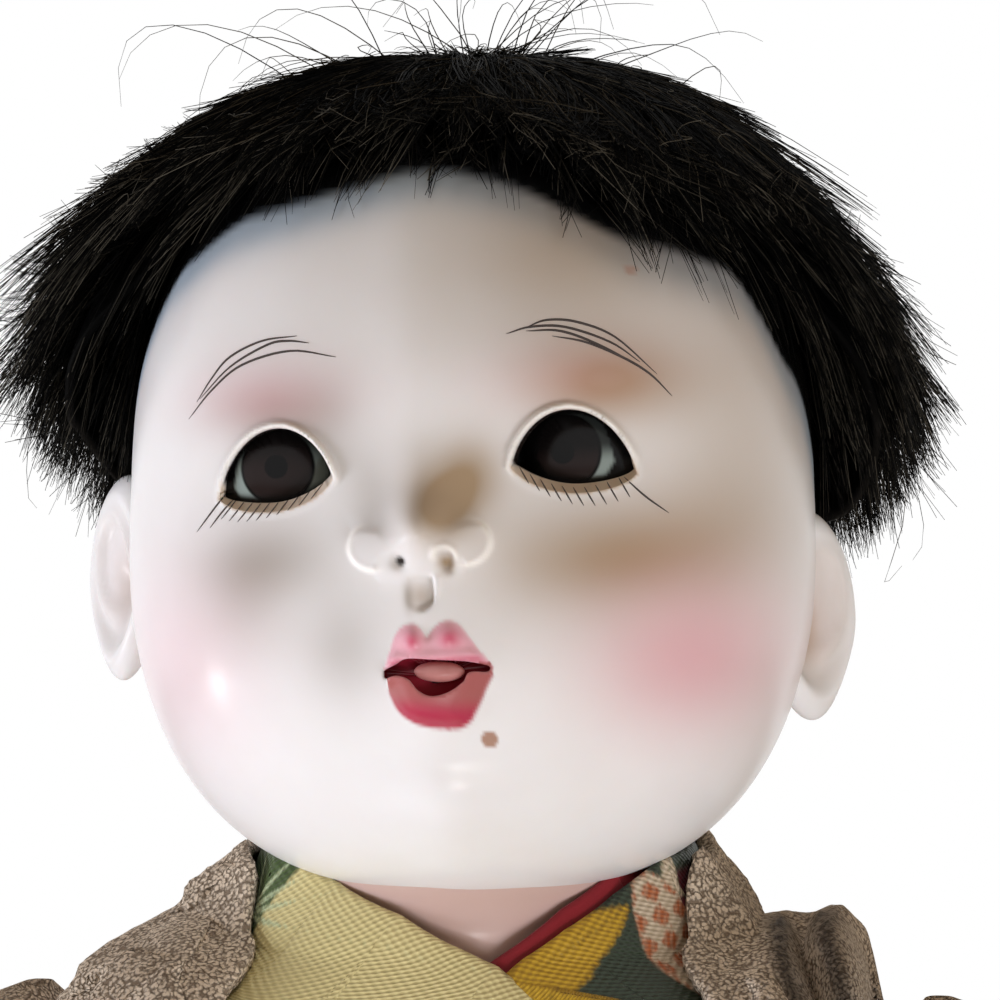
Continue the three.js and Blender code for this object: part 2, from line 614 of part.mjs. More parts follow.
// The whorl patch on the crown, where the wefts meet.
function hairCrown() {
  const sides = 18;
  const latitude = degToRad(90 - HAIR_CROWN_DEGREES + HAIR_SEAM_DEGREES);
  const ringAt = (angle, stand) =>
    Array.from({ length: sides }, (_, k) => {
      const bare = headForm((2 * Math.PI * k) / sides, angle);
      return bare.setLength(bare.length() + stand);
    });
  const halfway = (latitude + Math.PI / 2) / 2;
  const rings = [ringAt(latitude, 2 * CLEARANCE), ringAt(latitude, HAIR_CROWN_THICKNESS)];
  rings.push(ringAt(halfway, HAIR_CROWN_THICKNESS + 0.6));
  const top = vec(0, 0, SKULL_RISE + HAIR_CROWN_THICKNESS + 0.8);
  const scalp = (longitude, angle) => headForm(longitude, angle, 2 * CLEARANCE);
  const hollow = headSkin(scalp, 18, 16, 0.9, 0.9);
  return cut(skinOver(rings, vec(0, 0, SKULL_RISE), top), hollow);
}

// The turned peg under the head, a push fit in the neck, that swivels in the chest.
function neckPeg() {
  const glued = NECK_FOOT_HEIGHT + PEG_GLUED_LENGTH;
  const profile = [
    [0, NECK_FOOT_HEIGHT - PEG_LENGTH],
    [PEG_RADIUS - 2, NECK_FOOT_HEIGHT - PEG_LENGTH],
    [PEG_RADIUS, NECK_FOOT_HEIGHT - PEG_LENGTH + 3],
    [PEG_RADIUS, glued],
    [0, glued],
  ];
  const turned = profile.map(([r, z]) => new THREE.Vector2(r, z));
  return new THREE.LatheGeometry(turned, RING_SIDES).rotateX(Math.PI / 2);
}

// [height, half width, half depth, squareness] of the robe's middle surface, from the hem to the neck.
const robeProfile = stationCurve([
  [KIMONO_HEM_HEIGHT, HEM_HALF_WIDTH, HEM_HALF_DEPTH, 2.3],
  [HIP_HEIGHT, HIP_HALF_WIDTH, HIP_HALF_DEPTH, 2.3],
  [CHEST_FOOT_HEIGHT - OBI_WIDTH / 2, WAIST_HALF_WIDTH, WAIST_HALF_DEPTH, 2.3],
  [SHOULDER_HEIGHT - 26, CHEST_HALF_WIDTH, CHEST_HALF_DEPTH, 3],
  [SHOULDER_HEIGHT, SHOULDER_HALF_WIDTH, SHOULDER_HALF_DEPTH, 3.6],
  [CHEST_TOP_HEIGHT - 2, SHOULDER_HALF_WIDTH - 0.4, SHOULDER_HALF_DEPTH - 1.5, 3.4],
  [CHEST_TOP_HEIGHT + 3, SHOULDER_HALF_WIDTH - 4.4, SHOULDER_HALF_DEPTH - 2.5, 2.8],
  [CHEST_TOP_HEIGHT + 9, NECK_RADIUS + 7.5, NECK_RADIUS + 3.5, 2.2],
  [COLLAR_TOP_HEIGHT + 4, NECK_RADIUS + 5.5, NECK_RADIUS + 3.2, 2.1],
]);

// A point on that surface. Bearing 0 looks back, along +Y, and a half turn looks forward.
function robePoint(bearing, height, over = 0) {
  const [halfWidth, halfDepth, squareness] = robeProfile(height);
  const rounded = (value) => Math.sign(value) * Math.abs(value) ** (2 / squareness);
  return vec(
    (halfWidth + over) * rounded(Math.sin(bearing)),
    (halfDepth + over) * rounded(Math.cos(bearing)),
    height,
  );
}

function bodyRing(height, over, sides = RING_SIDES) {
  return Array.from({ length: sides }, (_, k) => robePoint((2 * Math.PI * k) / sides, height, over));
}

const bodyLoft = (stations) => loft(stations.map(([height, over]) => bodyRing(height, over)));

function chest() {
  const rebateTop = CHEST_FOOT_HEIGHT + REBATE_HEIGHT;
  const made = bodyLoft([
    [CHEST_FOOT_HEIGHT, -BODY_INSET - BODY_REBATE],
    [rebateTop, -BODY_INSET - BODY_REBATE],
    [rebateTop + 0.5, -BODY_INSET],
    [lerp(rebateTop, SHOULDER_HEIGHT, 0.5), -BODY_INSET],
    [SHOULDER_HEIGHT, -BODY_INSET],
    [SHOULDER_HEIGHT + 5, -BODY_INSET - 1],
    [CHEST_TOP_HEIGHT, -BODY_INSET - 4],
  ]);
  const flank = ARM_PLANE - CLEARANCE;
  const flanks = boxBetween([-flank, -60, 0], [flank, 60, CHEST_TOP_HEIGHT + 1]);
  const stubTip = ARM_PLANE + STUB_LENGTH;
  const stub = cylinderAlong("x", STUB_RADIUS, -stubTip, stubTip).translate(0, 0, SHOULDER_HEIGHT);
  const above = CHEST_TOP_HEIGHT + 1;
  const pegFoot = NECK_FOOT_HEIGHT - PEG_LENGTH - 1;
  const socket = cylinderAlong("z", PEG_RADIUS + CLEARANCE, pegFoot, above, RING_SIDES);
  const seat = CHEST_TOP_HEIGHT - WASHER_RECESS;
  const recess = cylinderAlong("z", WASHER_RADIUS + CLEARANCE, seat, above, RING_SIDES);
  return cut(join(common(made, flanks), stub), socket, recess);
}

// The leather washer that the head turns on.
function neckWasher() {
  const foot = CHEST_TOP_HEIGHT - WASHER_RECESS + CLEARANCE;
  const top = foot + WASHER_THICKNESS;
  const ring = cylinderAlong("z", WASHER_RADIUS, foot, top, RING_SIDES);
  return cut(ring, cylinderAlong("z", PEG_RADIUS + CLEARANCE, foot - 1, top + 1, RING_SIDES));
}

// The hip block, hollowed under each side for the round top of a thigh.
function hips() {
  const foot = HIP_HEIGHT - HIP_UNDERCUT;
  const rebateFoot = HIP_TOP_HEIGHT - REBATE_HEIGHT;
  const made = bodyLoft([
    [foot, -BODY_INSET - 3],
    [foot + 4, -BODY_INSET],
    [rebateFoot - 0.5, -BODY_INSET],
    [rebateFoot, -BODY_INSET - BODY_REBATE],
    [HIP_TOP_HEIGHT, -BODY_INSET - BODY_REBATE],
  ]);
  const socket = new THREE.SphereGeometry(THIGH_RADIUS + 3 * CLEARANCE, 12, 8);
  const sockets = [-1, 1].map((side) => socket.clone().translate(side * HIP_SPREAD, 0, HIP_HEIGHT));
  return cut(made, ...sockets);
}

function waistCloth() {
  const foot = HIP_TOP_HEIGHT - REBATE_HEIGHT + CLEARANCE;
  const top = CHEST_FOOT_HEIGHT + REBATE_HEIGHT - CLEARANCE;
  const inner = -BODY_INSET - BODY_REBATE + CLEARANCE;
  const surface = (over) => (u, v) => robePoint(2 * Math.PI * u, lerp(foot, top, v), over);
  return slab(RING_SIDES, 2, surface(inner), surface(inner + WAIST_CLOTH_THICKNESS), true);
}

// The padded roll inside the waist cloth, which carries the chest on the hips.
function waistStuffing() {
  const foot = HIP_TOP_HEIGHT + CLEARANCE;
  const top = CHEST_FOOT_HEIGHT - CLEARANCE;
  const over = -BODY_INSET - BODY_REBATE - STUFFING_SWELL;
  return bodyLoft([
    [foot, over - 2],
    [lerp(foot, top, 0.2), over],
    [lerp(foot, top, 0.8), over],
    [top, over - 2],
  ]);
}

// The cloth upper arm: it turns on the chest's stub, about the line through both shoulders.
function upperArm(side) {
  const path = [
    vec(side * (ARM_PLANE + 3), 0, SHOULDER_HEIGHT),
    vec(side * (ARM_HANG - 6), 0, SHOULDER_HEIGHT - 3),
    vec(side * ARM_HANG, 1, SHOULDER_HEIGHT - 14),
    vec(side * (ARM_HANG + 1), 2, ELBOW_HEIGHT + ARM_RADIUS),
  ];
  const radii = [ARM_RADIUS + 1.5, ARM_RADIUS + 0.5, ARM_RADIUS, ARM_RADIUS - 0.5];
  const cloth = limb(path, radii, LIMB_SIDES, 7);
  const flank = boxBetween([ARM_PLANE, -60, 0], [ARM_HANG + 40, 60, 400]).scale(side, 1, 1);
  const stubTip = ARM_PLANE + STUB_LENGTH + CLEARANCE;
  const stub = cylinderAlong("x", STUB_RADIUS + CLEARANCE, -stubTip, stubTip);
  const [keep] = turnedOut([flank]);
  return cut(common(cloth, keep), stub.translate(0, 0, SHOULDER_HEIGHT));
}

// The moulded forearm and hand, its upper end let into the cloth arm.
function forearm(side) {
  const elbow = vec(side * (ARM_HANG + 1), 1, ELBOW_HEIGHT - 0.5);
  const wrist = vec(side * (ARM_HANG + 2), -WRIST_FORWARD, WRIST_HEIGHT);
  const way = wrist.clone().sub(elbow).normalize();
  const middle = elbow.clone().lerp(wrist, 0.5).add(vec(0, -1, -2));
  const radii = [ARM_RADIUS - 0.6, ARM_RADIUS - 1, WRIST_RADIUS];
  const lower = limb([elbow, middle, wrist], radii, LIMB_SIDES, 3);
  const palmEnd = wrist.clone().addScaledVector(way, PALM_LENGTH);
  const palmRadii = [WRIST_RADIUS, WRIST_RADIUS + 0.8, WRIST_RADIUS - 0.4];
  const palm = limb([wrist, palmEnd], palmRadii, LIMB_SIDES, 2, 0.62);
  const fingers = [-1.5, -0.5, 0.5, 1.5].map((step) => {
    const root = palmEnd.clone().add(vec(step * 2.5, 0, 0));
    const reach = FINGER_LENGTH - Math.abs(step) * 1.4;
    const knuckle = root.clone().addScaledVector(way, reach * 0.5);
    const tip = root.clone().addScaledVector(way, reach * 0.85).add(vec(0, 1.5, -2));
    const taper = [FINGER_RADIUS, FINGER_RADIUS, FINGER_RADIUS * 0.72];
    return limb([root, knuckle, tip], taper, FINGER_SIDES, 2);
  });
  const heel = wrist.clone().addScaledVector(way, 4);
  const thumbTip = heel.clone().addScaledVector(way, 9).add(vec(-side * 6.5, 0, 1.5));
  const thumbBend = heel.clone().lerp(thumbTip, 0.6).add(vec(-side * 1.4, 0, 0));
  const thumb = limb([heel, thumbBend, thumbTip], [2.8, 2.3, 1.7], FINGER_SIDES, 2);
  const whole = join(lower, palm, thumb, ...fingers);
  return cut(whole, swollen(upperArm(side)));
}

// The space a cloth arm takes, with its clearance.
function swollen(geometry) {
  geometry.computeBoundingBox();
  const { min, max } = geometry.boundingBox;
  return boxBetween([min.x - 5, min.y - 5, min.z - CLEARANCE], [max.x + 5, max.y + 5, max.z]);
}

// The cloth thigh, round on top where it turns in the hip's socket.
function thigh(side) {
  const x = side * HIP_SPREAD;
  const middle = vec(x, 0, (HIP_HEIGHT + KNEE_HEIGHT) / 2);
  const path = [vec(x, 0, HIP_HEIGHT), middle, vec(x, 0.5, KNEE_HEIGHT + 8)];
  const cloth = limb(path, [THIGH_RADIUS, THIGH_RADIUS - 1.5, KNEE_RADIUS], 14, 4);
  const below = boxBetween([-60, -60, 0], [60, 60, KNEE_HEIGHT]);
  return cut(cloth, below);
}

// The moulded shin and bare foot, flat under the sole.
function shin(side) {
  const x = side * HIP_SPREAD;
  const ankle = vec(x, 3, ANKLE_HEIGHT);
  const leg = limb(
    [vec(x, 0.5, KNEE_HEIGHT - 4), vec(x, 2.5, 0.67 * KNEE_HEIGHT), ankle, vec(x, 3, 9)],
    [KNEE_RADIUS - 0.5, KNEE_RADIUS - 0.5, ANKLE_RADIUS, ANKLE_RADIUS],
    LIMB_SIDES,
    5,
  );
  const toeRoot = HEEL_BACK - FOOT_LENGTH + 2 * TOE_RADIUS;
  const footRadii = [HEEL_RADIUS, FOOT_WIDTH / 2 - 0.4, FOOT_WIDTH / 2];
  const footPlaces = [HEEL_BACK - HEEL_RADIUS, -4, toeRoot + 3];
  const overSole = SOLE_RISE * FOOT_FLATTEN;
  const footPath = footPlaces.map((y, k) => vec(x, y, overSole * footRadii[k]));
  const foot = limb(footPath, footRadii, LIMB_SIDES, 3, FOOT_FLATTEN);
  const instep = limb([vec(x, 2, INSTEP_HEIGHT - 3), vec(x, toeRoot + 8, 6)], [6.5, 3.5], LIMB_SIDES, 2);
  const toes = [0, 1, 2, 3, 4].map((k) => {
    const across = x + side * lerp(-FOOT_WIDTH / 2 + 2.2, FOOT_WIDTH / 2 - 1.2, k / 4);
    const reach = toeRoot - 3.4 + 0.9 * k;
    const size = k === 0 ? TOE_RADIUS * 1.25 : TOE_RADIUS * (1 - 0.07 * k);
    const root = vec(across, toeRoot + 2, size + 0.6);
    return limb([root, vec(across, reach, size)], [size, size], FINGER_SIDES, 1);
  });
  const above = boxBetween([-60, -60, KNEE_HEIGHT - CLEARANCE], [60, 60, HIP_HEIGHT]);
  const floor = boxBetween([-60, -60, -20], [60, 60, 0]);
  return cut(join(leg, foot, instep, ...toes), above, floor);
}

// A sheet of cloth over the robe's surface: place gives [bearing, height, over] on a unit square.
function garment(columns, rows, place, thickness, wrap = false) {
  const face = (half) => (u, v) => {
    const [bearing, height, over] = place(u, v);
    return robePoint(bearing, height, over + half);
  };
  return slab(columns, rows, face(-thickness / 2), face(thickness / 2), wrap);
}

// Rows of cloth lie close together where the shoulders bend.
const SHOULDER_ROWS = [-33, -12, -3, 1.5, 4.5].map((rise) => CHEST_TOP_HEIGHT + rise);

function rowHeights(...heights) {
  const rows = heights.length - 1;
  return { rows, heightAt: (v) => heights[Math.round(v * rows)] };
}

const armhole = () => cylinderAlong("x", ARMHOLE_RADIUS, -60, 60, 24).translate(0, 0, SHOULDER_HEIGHT);

// The kimono: one sheet wrapped round, the doll's right front over the left, loose in the skirt.
function kimonoRobe() {
  const wrap = degToRad(KIMONO_WRAP_DEGREES);
  const skirtRows = [0, 0.3, 0.65, 1].map((share) => lerp(KIMONO_HEM_HEIGHT, OBI_FOOT_HEIGHT, share));
  const { rows, heightAt } = rowHeights(...skirtRows, OBI_TOP_HEIGHT, ...SHOULDER_ROWS, KIMONO_TOP_HEIGHT);
  const place = (u, v) => {
    const bearing = lerp(-Math.PI - wrap, Math.PI + wrap, u);
    const height = heightAt(v);
    const skirt = 1 - smoothstep(height, KIMONO_HEM_HEIGHT, OBI_FOOT_HEIGHT);
    const fold = KIMONO_FOLD_DEPTH * skirt * Math.sin(KIMONO_FOLDS * bearing);
    const panel = KIMONO_WRAP_STEP * (1 - smoothstep(bearing, -Math.PI + wrap, -2.05));
    return [bearing, height, panel + fold];
  };
  return cut(garment(30, rows, place, CLOTH), armhole());
}

// A collar band: its middle line runs from the back of the neck round to the front, and down.
function collarBand(line, overAt, thickness, columns) {
  const place = (u, v) => {
    const t = Math.abs(2 * u - 1);
    const side = u < 0.5 ? -1 : 1;
    const [bearing, height, width] = line(t);
    const [nextBearing, nextHeight] = line(t + 0.02);
    const [, halfDepth] = robeProfile(height);
    const along = new THREE.Vector2((nextBearing - bearing) * halfDepth, nextHeight - height).normalize();
    const across = (v - 0.5) * width;
    const edgeBearing = bearing - (across * along.y) / halfDepth;
    const edgeHeight = height + across * along.x;
    return [side * edgeBearing, edgeHeight, overAt(t, side, edgeHeight)];
  };
  return garment(columns, 2, place, thickness);
}

// The line of a crossing collar: round the neck, then over the middle under the chin to the sash.
const COLLAR_TURN = 0.4; // share of the line where the band leaves the neck
const COLLAR_CROSS = 0.78; // share where it crosses the middle

function crossingLine(t) {
  const backHeight = COLLAR_TOP_HEIGHT - COLLAR_WIDTH / 2;
  const crossHeight = COLLAR_TOP_HEIGHT - COLLAR_CROSS_DROP;
  const line = stationCurve([
    [0, 0, backHeight],
    [COLLAR_TURN, 112, backHeight],
    [0.68, 164, crossHeight + 2.5],
    [COLLAR_CROSS, 184, crossHeight - 5],
    [1.02, 214, OBI_TOP_HEIGHT + 9],
  ]);
  const [bearing, height] = line(t);
  return [degToRad(bearing), height, COLLAR_WIDTH];
}

function kimonoCollar() {
  const overAt = (t, side) => {
    const chest = COLLAR_CHEST_OVER + (side < 0 ? KIMONO_WRAP_STEP : 0);
    return lerp(COLLAR_NECK_OVER, chest, smoothstep(t, COLLAR_TURN + 0.08, COLLAR_CROSS - 0.06));
  };
  return collarBand(crossingLine, overAt, CLOTH, 40);
}

function underCollar() {
  const overAt = (t, side) => {
    const tucked = side > 0 ? 0 : smoothstep(COLLAR_CROSS * t, COLLAR_TURN, 0.66);
    return -UNDER_COLLAR_IN - KIMONO_WRAP_STEP * tucked;
  };
  return collarBand((t) => crossingLine(COLLAR_CROSS * t), overAt, UNDER_COLLAR_THICKNESS, 28);
}

function obi() {
  const place = (u, v) => [2 * Math.PI * u, lerp(OBI_FOOT_HEIGHT, OBI_TOP_HEIGHT, v), OBI_OVER];
  return garment(32, 1, place, OBI_THICKNESS, true);
}

// The sash's flat knot behind: a folded pad with two tucked ends.
function obiKnot() {
  const [, halfDepth] = robeProfile(OBI_TOP_HEIGHT - OBI_WIDTH / 2);
  const seat = halfDepth + OBI_OVER + OBI_THICKNESS / 2 + CLEARANCE;
  const outline = new THREE.Shape();
  const half = OBI_KNOT_WIDTH / 2;
  const rise = OBI_KNOT_HEIGHT / 2;
  outline.moveTo(-half, -rise * 0.7);
  outline.quadraticCurveTo(0, -rise * 0.35, half * 0.8, -rise);
  outline.lineTo(half, rise * 0.6);
  outline.quadraticCurveTo(0, rise * 0.4, -half * 0.75, rise);
  outline.closePath();
  const bevel = { bevelEnabled: true, bevelThickness: 1.2, bevelSize: 1, bevelSegments: 1 };
  const depth = OBI_KNOT_DEPTH - 2 * bevel.bevelThickness;
  const pad = new THREE.ExtrudeGeometry(outline, { depth, curveSegments: 5, ...bevel });
  return pad.rotateX(Math.PI / 2).translate(0, seat + OBI_KNOT_DEPTH - 1.2, OBI_TOP_HEIGHT - OBI_WIDTH / 2);
}

// Bearing of the haori's front edge, which hangs nearly straight down.
function haoriEdge(height) {
  const [halfWidth, , squareness] = robeProfile(height);
  const rise = smoothstep(height, HAORI_HEM_HEIGHT, SHOULDER_HEIGHT);
  const open = lerp(HAORI_HEM_OPEN_HALF, HAORI_OPEN_HALF, rise);
  return Math.PI - Math.asin((open / (halfWidth + HAORI_OVER)) ** (squareness / 2));
}

function haoriOver(bearing, height) {
  const drape = 1 - smoothstep(height, HAORI_HEM_HEIGHT, OBI_TOP_HEIGHT + 8);
  const behind = 1 - smoothstep(Math.abs(bearing), 1.8, 2.2);
  const fold = HAORI_FOLD_DEPTH * drape * behind * (1 + Math.cos(HAORI_FOLDS * bearing));
  const knot = HAORI_KNOT_BULGE * bell(bearing, 0.95) * bell(height - (OBI_TOP_HEIGHT - OBI_WIDTH / 2), 36);
  const neck = smoothstep(height, SHOULDER_HEIGHT + 6, HAORI_TOP_HEIGHT);
  return lerp(HAORI_OVER, HAORI_NECK_OVER, neck) + Math.max(fold, knot);
}

// The haori's body: one sheet round the back, open in front.
function haoriBody() {
  const skirtRows = [0, 0.33, 0.67, 1].map((share) => lerp(HAORI_HEM_HEIGHT, OBI_TOP_HEIGHT, share));
  const { rows, heightAt } = rowHeights(...skirtRows, ...SHOULDER_ROWS, HAORI_TOP_HEIGHT);
  const place = (u, v) => {
    const height = heightAt(v);
    const bearing = lerp(-1, 1, u) * haoriEdge(height);
    return [bearing, height, haoriOver(bearing, height)];
  };
  return cut(garment(28, rows, place, CREPE), armhole());
}

// The haori's collar: a folded band round the neck and down both front edges.
function haoriCollar() {
  const edgeDegrees = (height) => THREE.MathUtils.radToDeg(haoriEdge(height));
  const neckHeight = COLLAR_TOP_HEIGHT - LAPEL_NECK_WIDTH / 2 + 1;
  const line = stationCurve([
    [0, 0, neckHeight, LAPEL_NECK_WIDTH],
    [0.25, 80, neckHeight + 0.6, LAPEL_NECK_WIDTH],
    [0.5, 124, neckHeight - 3, LAPEL_NECK_WIDTH],
    [0.72, edgeDegrees(SHOULDER_HEIGHT) - 3, SHOULDER_HEIGHT, LAPEL_WIDTH],
    [0.84, edgeDegrees(OBI_TOP_HEIGHT) - 3, OBI_TOP_HEIGHT, LAPEL_WIDTH],
    [1.02, edgeDegrees(HAORI_HEM_HEIGHT) - 3, HAORI_HEM_HEIGHT - 3, LAPEL_WIDTH],
  ]);
  const path = (t) => {
    const [bearing, height, width] = line(t);
    return [degToRad(bearing), height, width];
  };
  const stack = CREPE / 2 + 2 * CLOTH_GAP + LAPEL_THICKNESS / 2;
  return collarBand(path, (t, side, height) => haoriOver(Math.PI, height) + stack, LAPEL_THICKNESS, 36);
}

// The sleeve's bag:
// [height, inner side to outer side, half depth, forward shift, inner side's stand-off].
const sleeveProfile = stationCurve([
  [SLEEVE_FOOT_HEIGHT, SLEEVE_BREADTH * 0.72, SLEEVE_HALF_DEPTH * 0.94, SLEEVE_FORWARD, 3],
  [SLEEVE_FOOT_HEIGHT + 4, SLEEVE_BREADTH * 0.86, SLEEVE_HALF_DEPTH, SLEEVE_FORWARD, 2],
  [WRIST_HEIGHT - 9, SLEEVE_BREADTH, SLEEVE_HALF_DEPTH, SLEEVE_FORWARD, 1],
  [ELBOW_HEIGHT + 2, SLEEVE_BREADTH * 0.94, SLEEVE_HALF_DEPTH * 0.76, SLEEVE_FORWARD * 0.4, 0],
  [SHOULDER_HEIGHT - 6, SLEEVE_BREADTH * 0.86, SLEEVE_HALF_DEPTH * 0.62, 0, 0],
  [SHOULDER_HEIGHT + 8, SLEEVE_BREADTH * 0.64, SLEEVE_HALF_DEPTH * 0.48, 0, 0],
  [SLEEVE_TOP_HEIGHT, SLEEVE_BREADTH * 0.16, SLEEVE_HALF_DEPTH * 0.2, 0, 0],
]);

function sleeveBag(side, inset) {
  const foot = SLEEVE_FOOT_HEIGHT + inset;
  const top = SLEEVE_TOP_HEIGHT - inset;
  const heights = [0, 0.03, 0.18, 0.38, 0.6, 0.8, 0.93, 1].map((share) => lerp(foot, top, share));
  const round = (value) => Math.sign(value) * Math.abs(value) ** 0.72;
  const rings = heights.map((height) => {
    const [breadth, halfDepth, forward, off] = sleeveProfile(height);
    const half = Math.max(breadth / 2 - inset, 0.6);
    const deep = Math.max(halfDepth - inset, 0.8);
    return Array.from({ length: SLEEVE_SIDES }, (_, k) => {
      const angle = (2 * Math.PI * k) / SLEEVE_SIDES;
      const x = SLEEVE_PLANE + off + breadth / 2 + half * round(Math.cos(angle));
      return vec(side * x, -forward + deep * round(Math.sin(angle)), height);
    });
  });
  return loft(rings);
}

function sleeve(side, inset, wall, cuffInset) {
  const mouth = new THREE.SphereGeometry(1, 12, 8);
  mouth.scale(CUFF_HALF_WIDTH - cuffInset, SLEEVE_HALF_DEPTH * 0.5, CUFF_HALF_HEIGHT - cuffInset);
  mouth.translate(side * (ARM_HANG + 2), -SLEEVE_FORWARD - SLEEVE_HALF_DEPTH, WRIST_HEIGHT - 4);
  const hole = cylinderAlong("x", ARMHOLE_RADIUS - 1.5 - cuffInset, 0, SLEEVE_PLANE + 8, 16);
  const [armway] = turnedOut([hole.scale(side, 1, 1).translate(0, 0, SHOULDER_HEIGHT)]);
  return cut(sleeveBag(side, inset), sleeveBag(side, inset + wall), mouth, armway);
}

// Finishes: colour, roughness and metalness.
function finish(color, roughness, metalness = 0) {
  return new THREE.MeshStandardMaterial({ color, roughness, metalness });
}

const GOFUN = finish(0xe8dcd2, 0.35); // polished shell-white coat
const GLASS = finish(0x20191a, 0.05);
const EYE_PAINT = finish(0x1d1414, 0.3);
const TONGUE = finish(0xc98b86, 0.4);
const HAIR = finish(0x0d0b0a, 0.55);
const WOOD = finish(0xb08d63, 0.7);
const COMPOSITION = finish(0xb79a78, 0.8);
const MUSLIN = finish(0xd8cdb8, 0.9);
const LEATHER = finish(0x7a5a3e, 0.7);
const RED_SILK = finish(0x7a1019, 0.6);
const GREEN_PRINT = finish(0x36452f, 0.8);
const SASH = finish(0x4a3f2e, 0.75);
const HAORI_CREPE = finish(0x7d7164, 0.9);

const doll = new THREE.Group();

function add(name, geometry, material, group = doll) {
  const mesh = new THREE.Mesh(geometry, material);
  mesh.name = name;
  group.add(mesh);
}

// The head and its hair hang in a group of their own, placed over the neck.
const head = new THREE.Group();
head.position.set(0, -HEAD_FORWARD, HEAD_HEIGHT);
doll.add(head);
const halves = headHalves();
add("face_half", halves.face, GOFUN, head);
add("skull_half", halves.skull, GOFUN, head);
add("tongue", tongue(), TONGUE, head);
const sides = { right: -1, left: 1 };
for (const [name, side] of Object.entries(sides)) {
  add(`${name}_eye_glass`, glassEye(side), GLASS, head);
  add(`${name}_eye_core`, eyeCore(side), EYE_PAINT, head);
}
const fringe = FRINGE_HALF_DEGREES;
const nape = 180 - NAPE_HALF_DEGREES;
add("hair_fringe", hairWeft(-fringe, fringe, 24), HAIR, head);
add("hair_right", hairWeft(-nape, -fringe, 16), HAIR, head);
add("hair_left", hairWeft(fringe, nape, 16), HAIR, head);
add("hair_back", hairWeft(nape, 360 - nape, 16), HAIR, head);
add("hair_crown", hairCrown(), HAIR, head);
add("neck_peg", neckPeg(), WOOD);

add("chest", chest(), COMPOSITION);
add("neck_washer", neckWasher(), LEATHER);
add("hips", hips(), COMPOSITION);
add("waist_cloth", waistCloth(), MUSLIN);
add("waist_stuffing", waistStuffing(), MUSLIN);

for (const [name, side] of Object.entries(sides)) {
  add(`${name}_upper_arm`, upperArm(side), MUSLIN);
  add(`${name}_forearm`, forearm(side), GOFUN);
  add(`${name}_haori_sleeve`, sleeve(side, 0, SLEEVE_WALL, 0), HAORI_CREPE);
  add(`${name}_kimono_sleeve`, sleeve(side, SLEEVE_WALL + CLOTH_GAP, CLOTH, CLOTH_GAP), GREEN_PRINT);
  add(`${name}_thigh`, thigh(side), MUSLIN);
  add(`${name}_shin`, shin(side), GOFUN);
}

add("kimono_robe", kimonoRobe(), GREEN_PRINT);
add("kimono_collar", kimonoCollar(), GREEN_PRINT);
add("under_collar", underCollar(), RED_SILK);
add("obi", obi(), SASH);
add("obi_knot", obiKnot(), SASH);
add("haori_body", haoriBody(), HAORI_CREPE);
add("haori_collar", haoriCollar(), HAORI_CREPE);

// The origin moves under the middle of the bounding box.
const box = new THREE.Box3().setFromObject(doll);
doll.children.forEach((piece) => {
  piece.position.y -= (box.min.y + box.max.y) / 2;
});

export default doll;
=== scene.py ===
"""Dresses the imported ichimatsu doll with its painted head, glass eyes, bristly hair and silk clothes."""

import math

import bmesh
import bpy
import numpy as np
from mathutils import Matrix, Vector, noise


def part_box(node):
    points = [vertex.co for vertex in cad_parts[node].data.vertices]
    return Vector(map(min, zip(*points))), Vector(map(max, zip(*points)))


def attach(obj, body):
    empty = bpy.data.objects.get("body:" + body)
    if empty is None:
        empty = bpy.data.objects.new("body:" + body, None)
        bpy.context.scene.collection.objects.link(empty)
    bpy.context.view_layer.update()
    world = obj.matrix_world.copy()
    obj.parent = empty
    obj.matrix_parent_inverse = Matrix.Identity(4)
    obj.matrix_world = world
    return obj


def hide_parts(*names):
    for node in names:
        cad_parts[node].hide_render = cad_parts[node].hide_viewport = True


bl_info = {
    "name": "Ichimatsu doll",
    "version": (1, 0, 0),
    "blender": (4, 5, 0),
    "location": "View3D > Sidebar > Doll",
    "description": "Dresses the packed ichimatsu doll with its head, hair and clothes",
    "category": "Object",
}

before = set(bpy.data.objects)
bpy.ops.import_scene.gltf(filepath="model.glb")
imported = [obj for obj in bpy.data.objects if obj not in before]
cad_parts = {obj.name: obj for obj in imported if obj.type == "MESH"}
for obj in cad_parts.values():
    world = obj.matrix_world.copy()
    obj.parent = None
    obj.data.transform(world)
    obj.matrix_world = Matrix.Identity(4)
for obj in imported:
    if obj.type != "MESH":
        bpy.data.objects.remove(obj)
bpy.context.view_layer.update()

# Sizes are in millimetres here and in metres in the meshes.
MM = 0.001

# The doll's own right and left, as the signs of x.
SIDES = ((-1, "right"), (1, "left"))

# The head, about its own middle.
HEAD_FRONT = 36.5
HEAD_BACK = 40.0
SKULL_RISE = 39.0
CHIN_DROP = 43.0
LEVEL_POWER = 2.25
SKULL_POWER = 2.15
CHIN_POWER = 2.7
HEAD_BEFORE_NECK = 3.0
FACE_LEAN = math.radians(3.5)
FACE_PIVOT = -7.5
TEMPLE_NARROWING = 0.022
EASE_WIDTH = 8.0
EAR_OUT = {-1: -37.4, 1: 33.8}
EAR_RISE = {-1: -11.2, 1: -14.8}
EAR_BACK = 3.0
EAR_HALF_WIDTH = 7.2
EAR_HALF_HEIGHT = 10.9
EAR_HALF_DEPTH = 2.9
EAR_FLARE = math.radians(38.0)
EAR_TILT = math.radians(7.0)
# How strongly each ear's hollow and pit are darkened, as painted shade.
EAR_HOLLOW_SHADE = {-1: 0.35, 1: 1.0}
HEAD_COLUMNS = 360
HEAD_ROWS = 250
EAR_GRID = (72, 48)
NECK_GRID = (65, 33)
# Painted shade over the whole neck under the chin: a brown share and a pink share.
NECK_BROWN_SHADE = 0.62
NECK_PINK_SHADE = 0.25

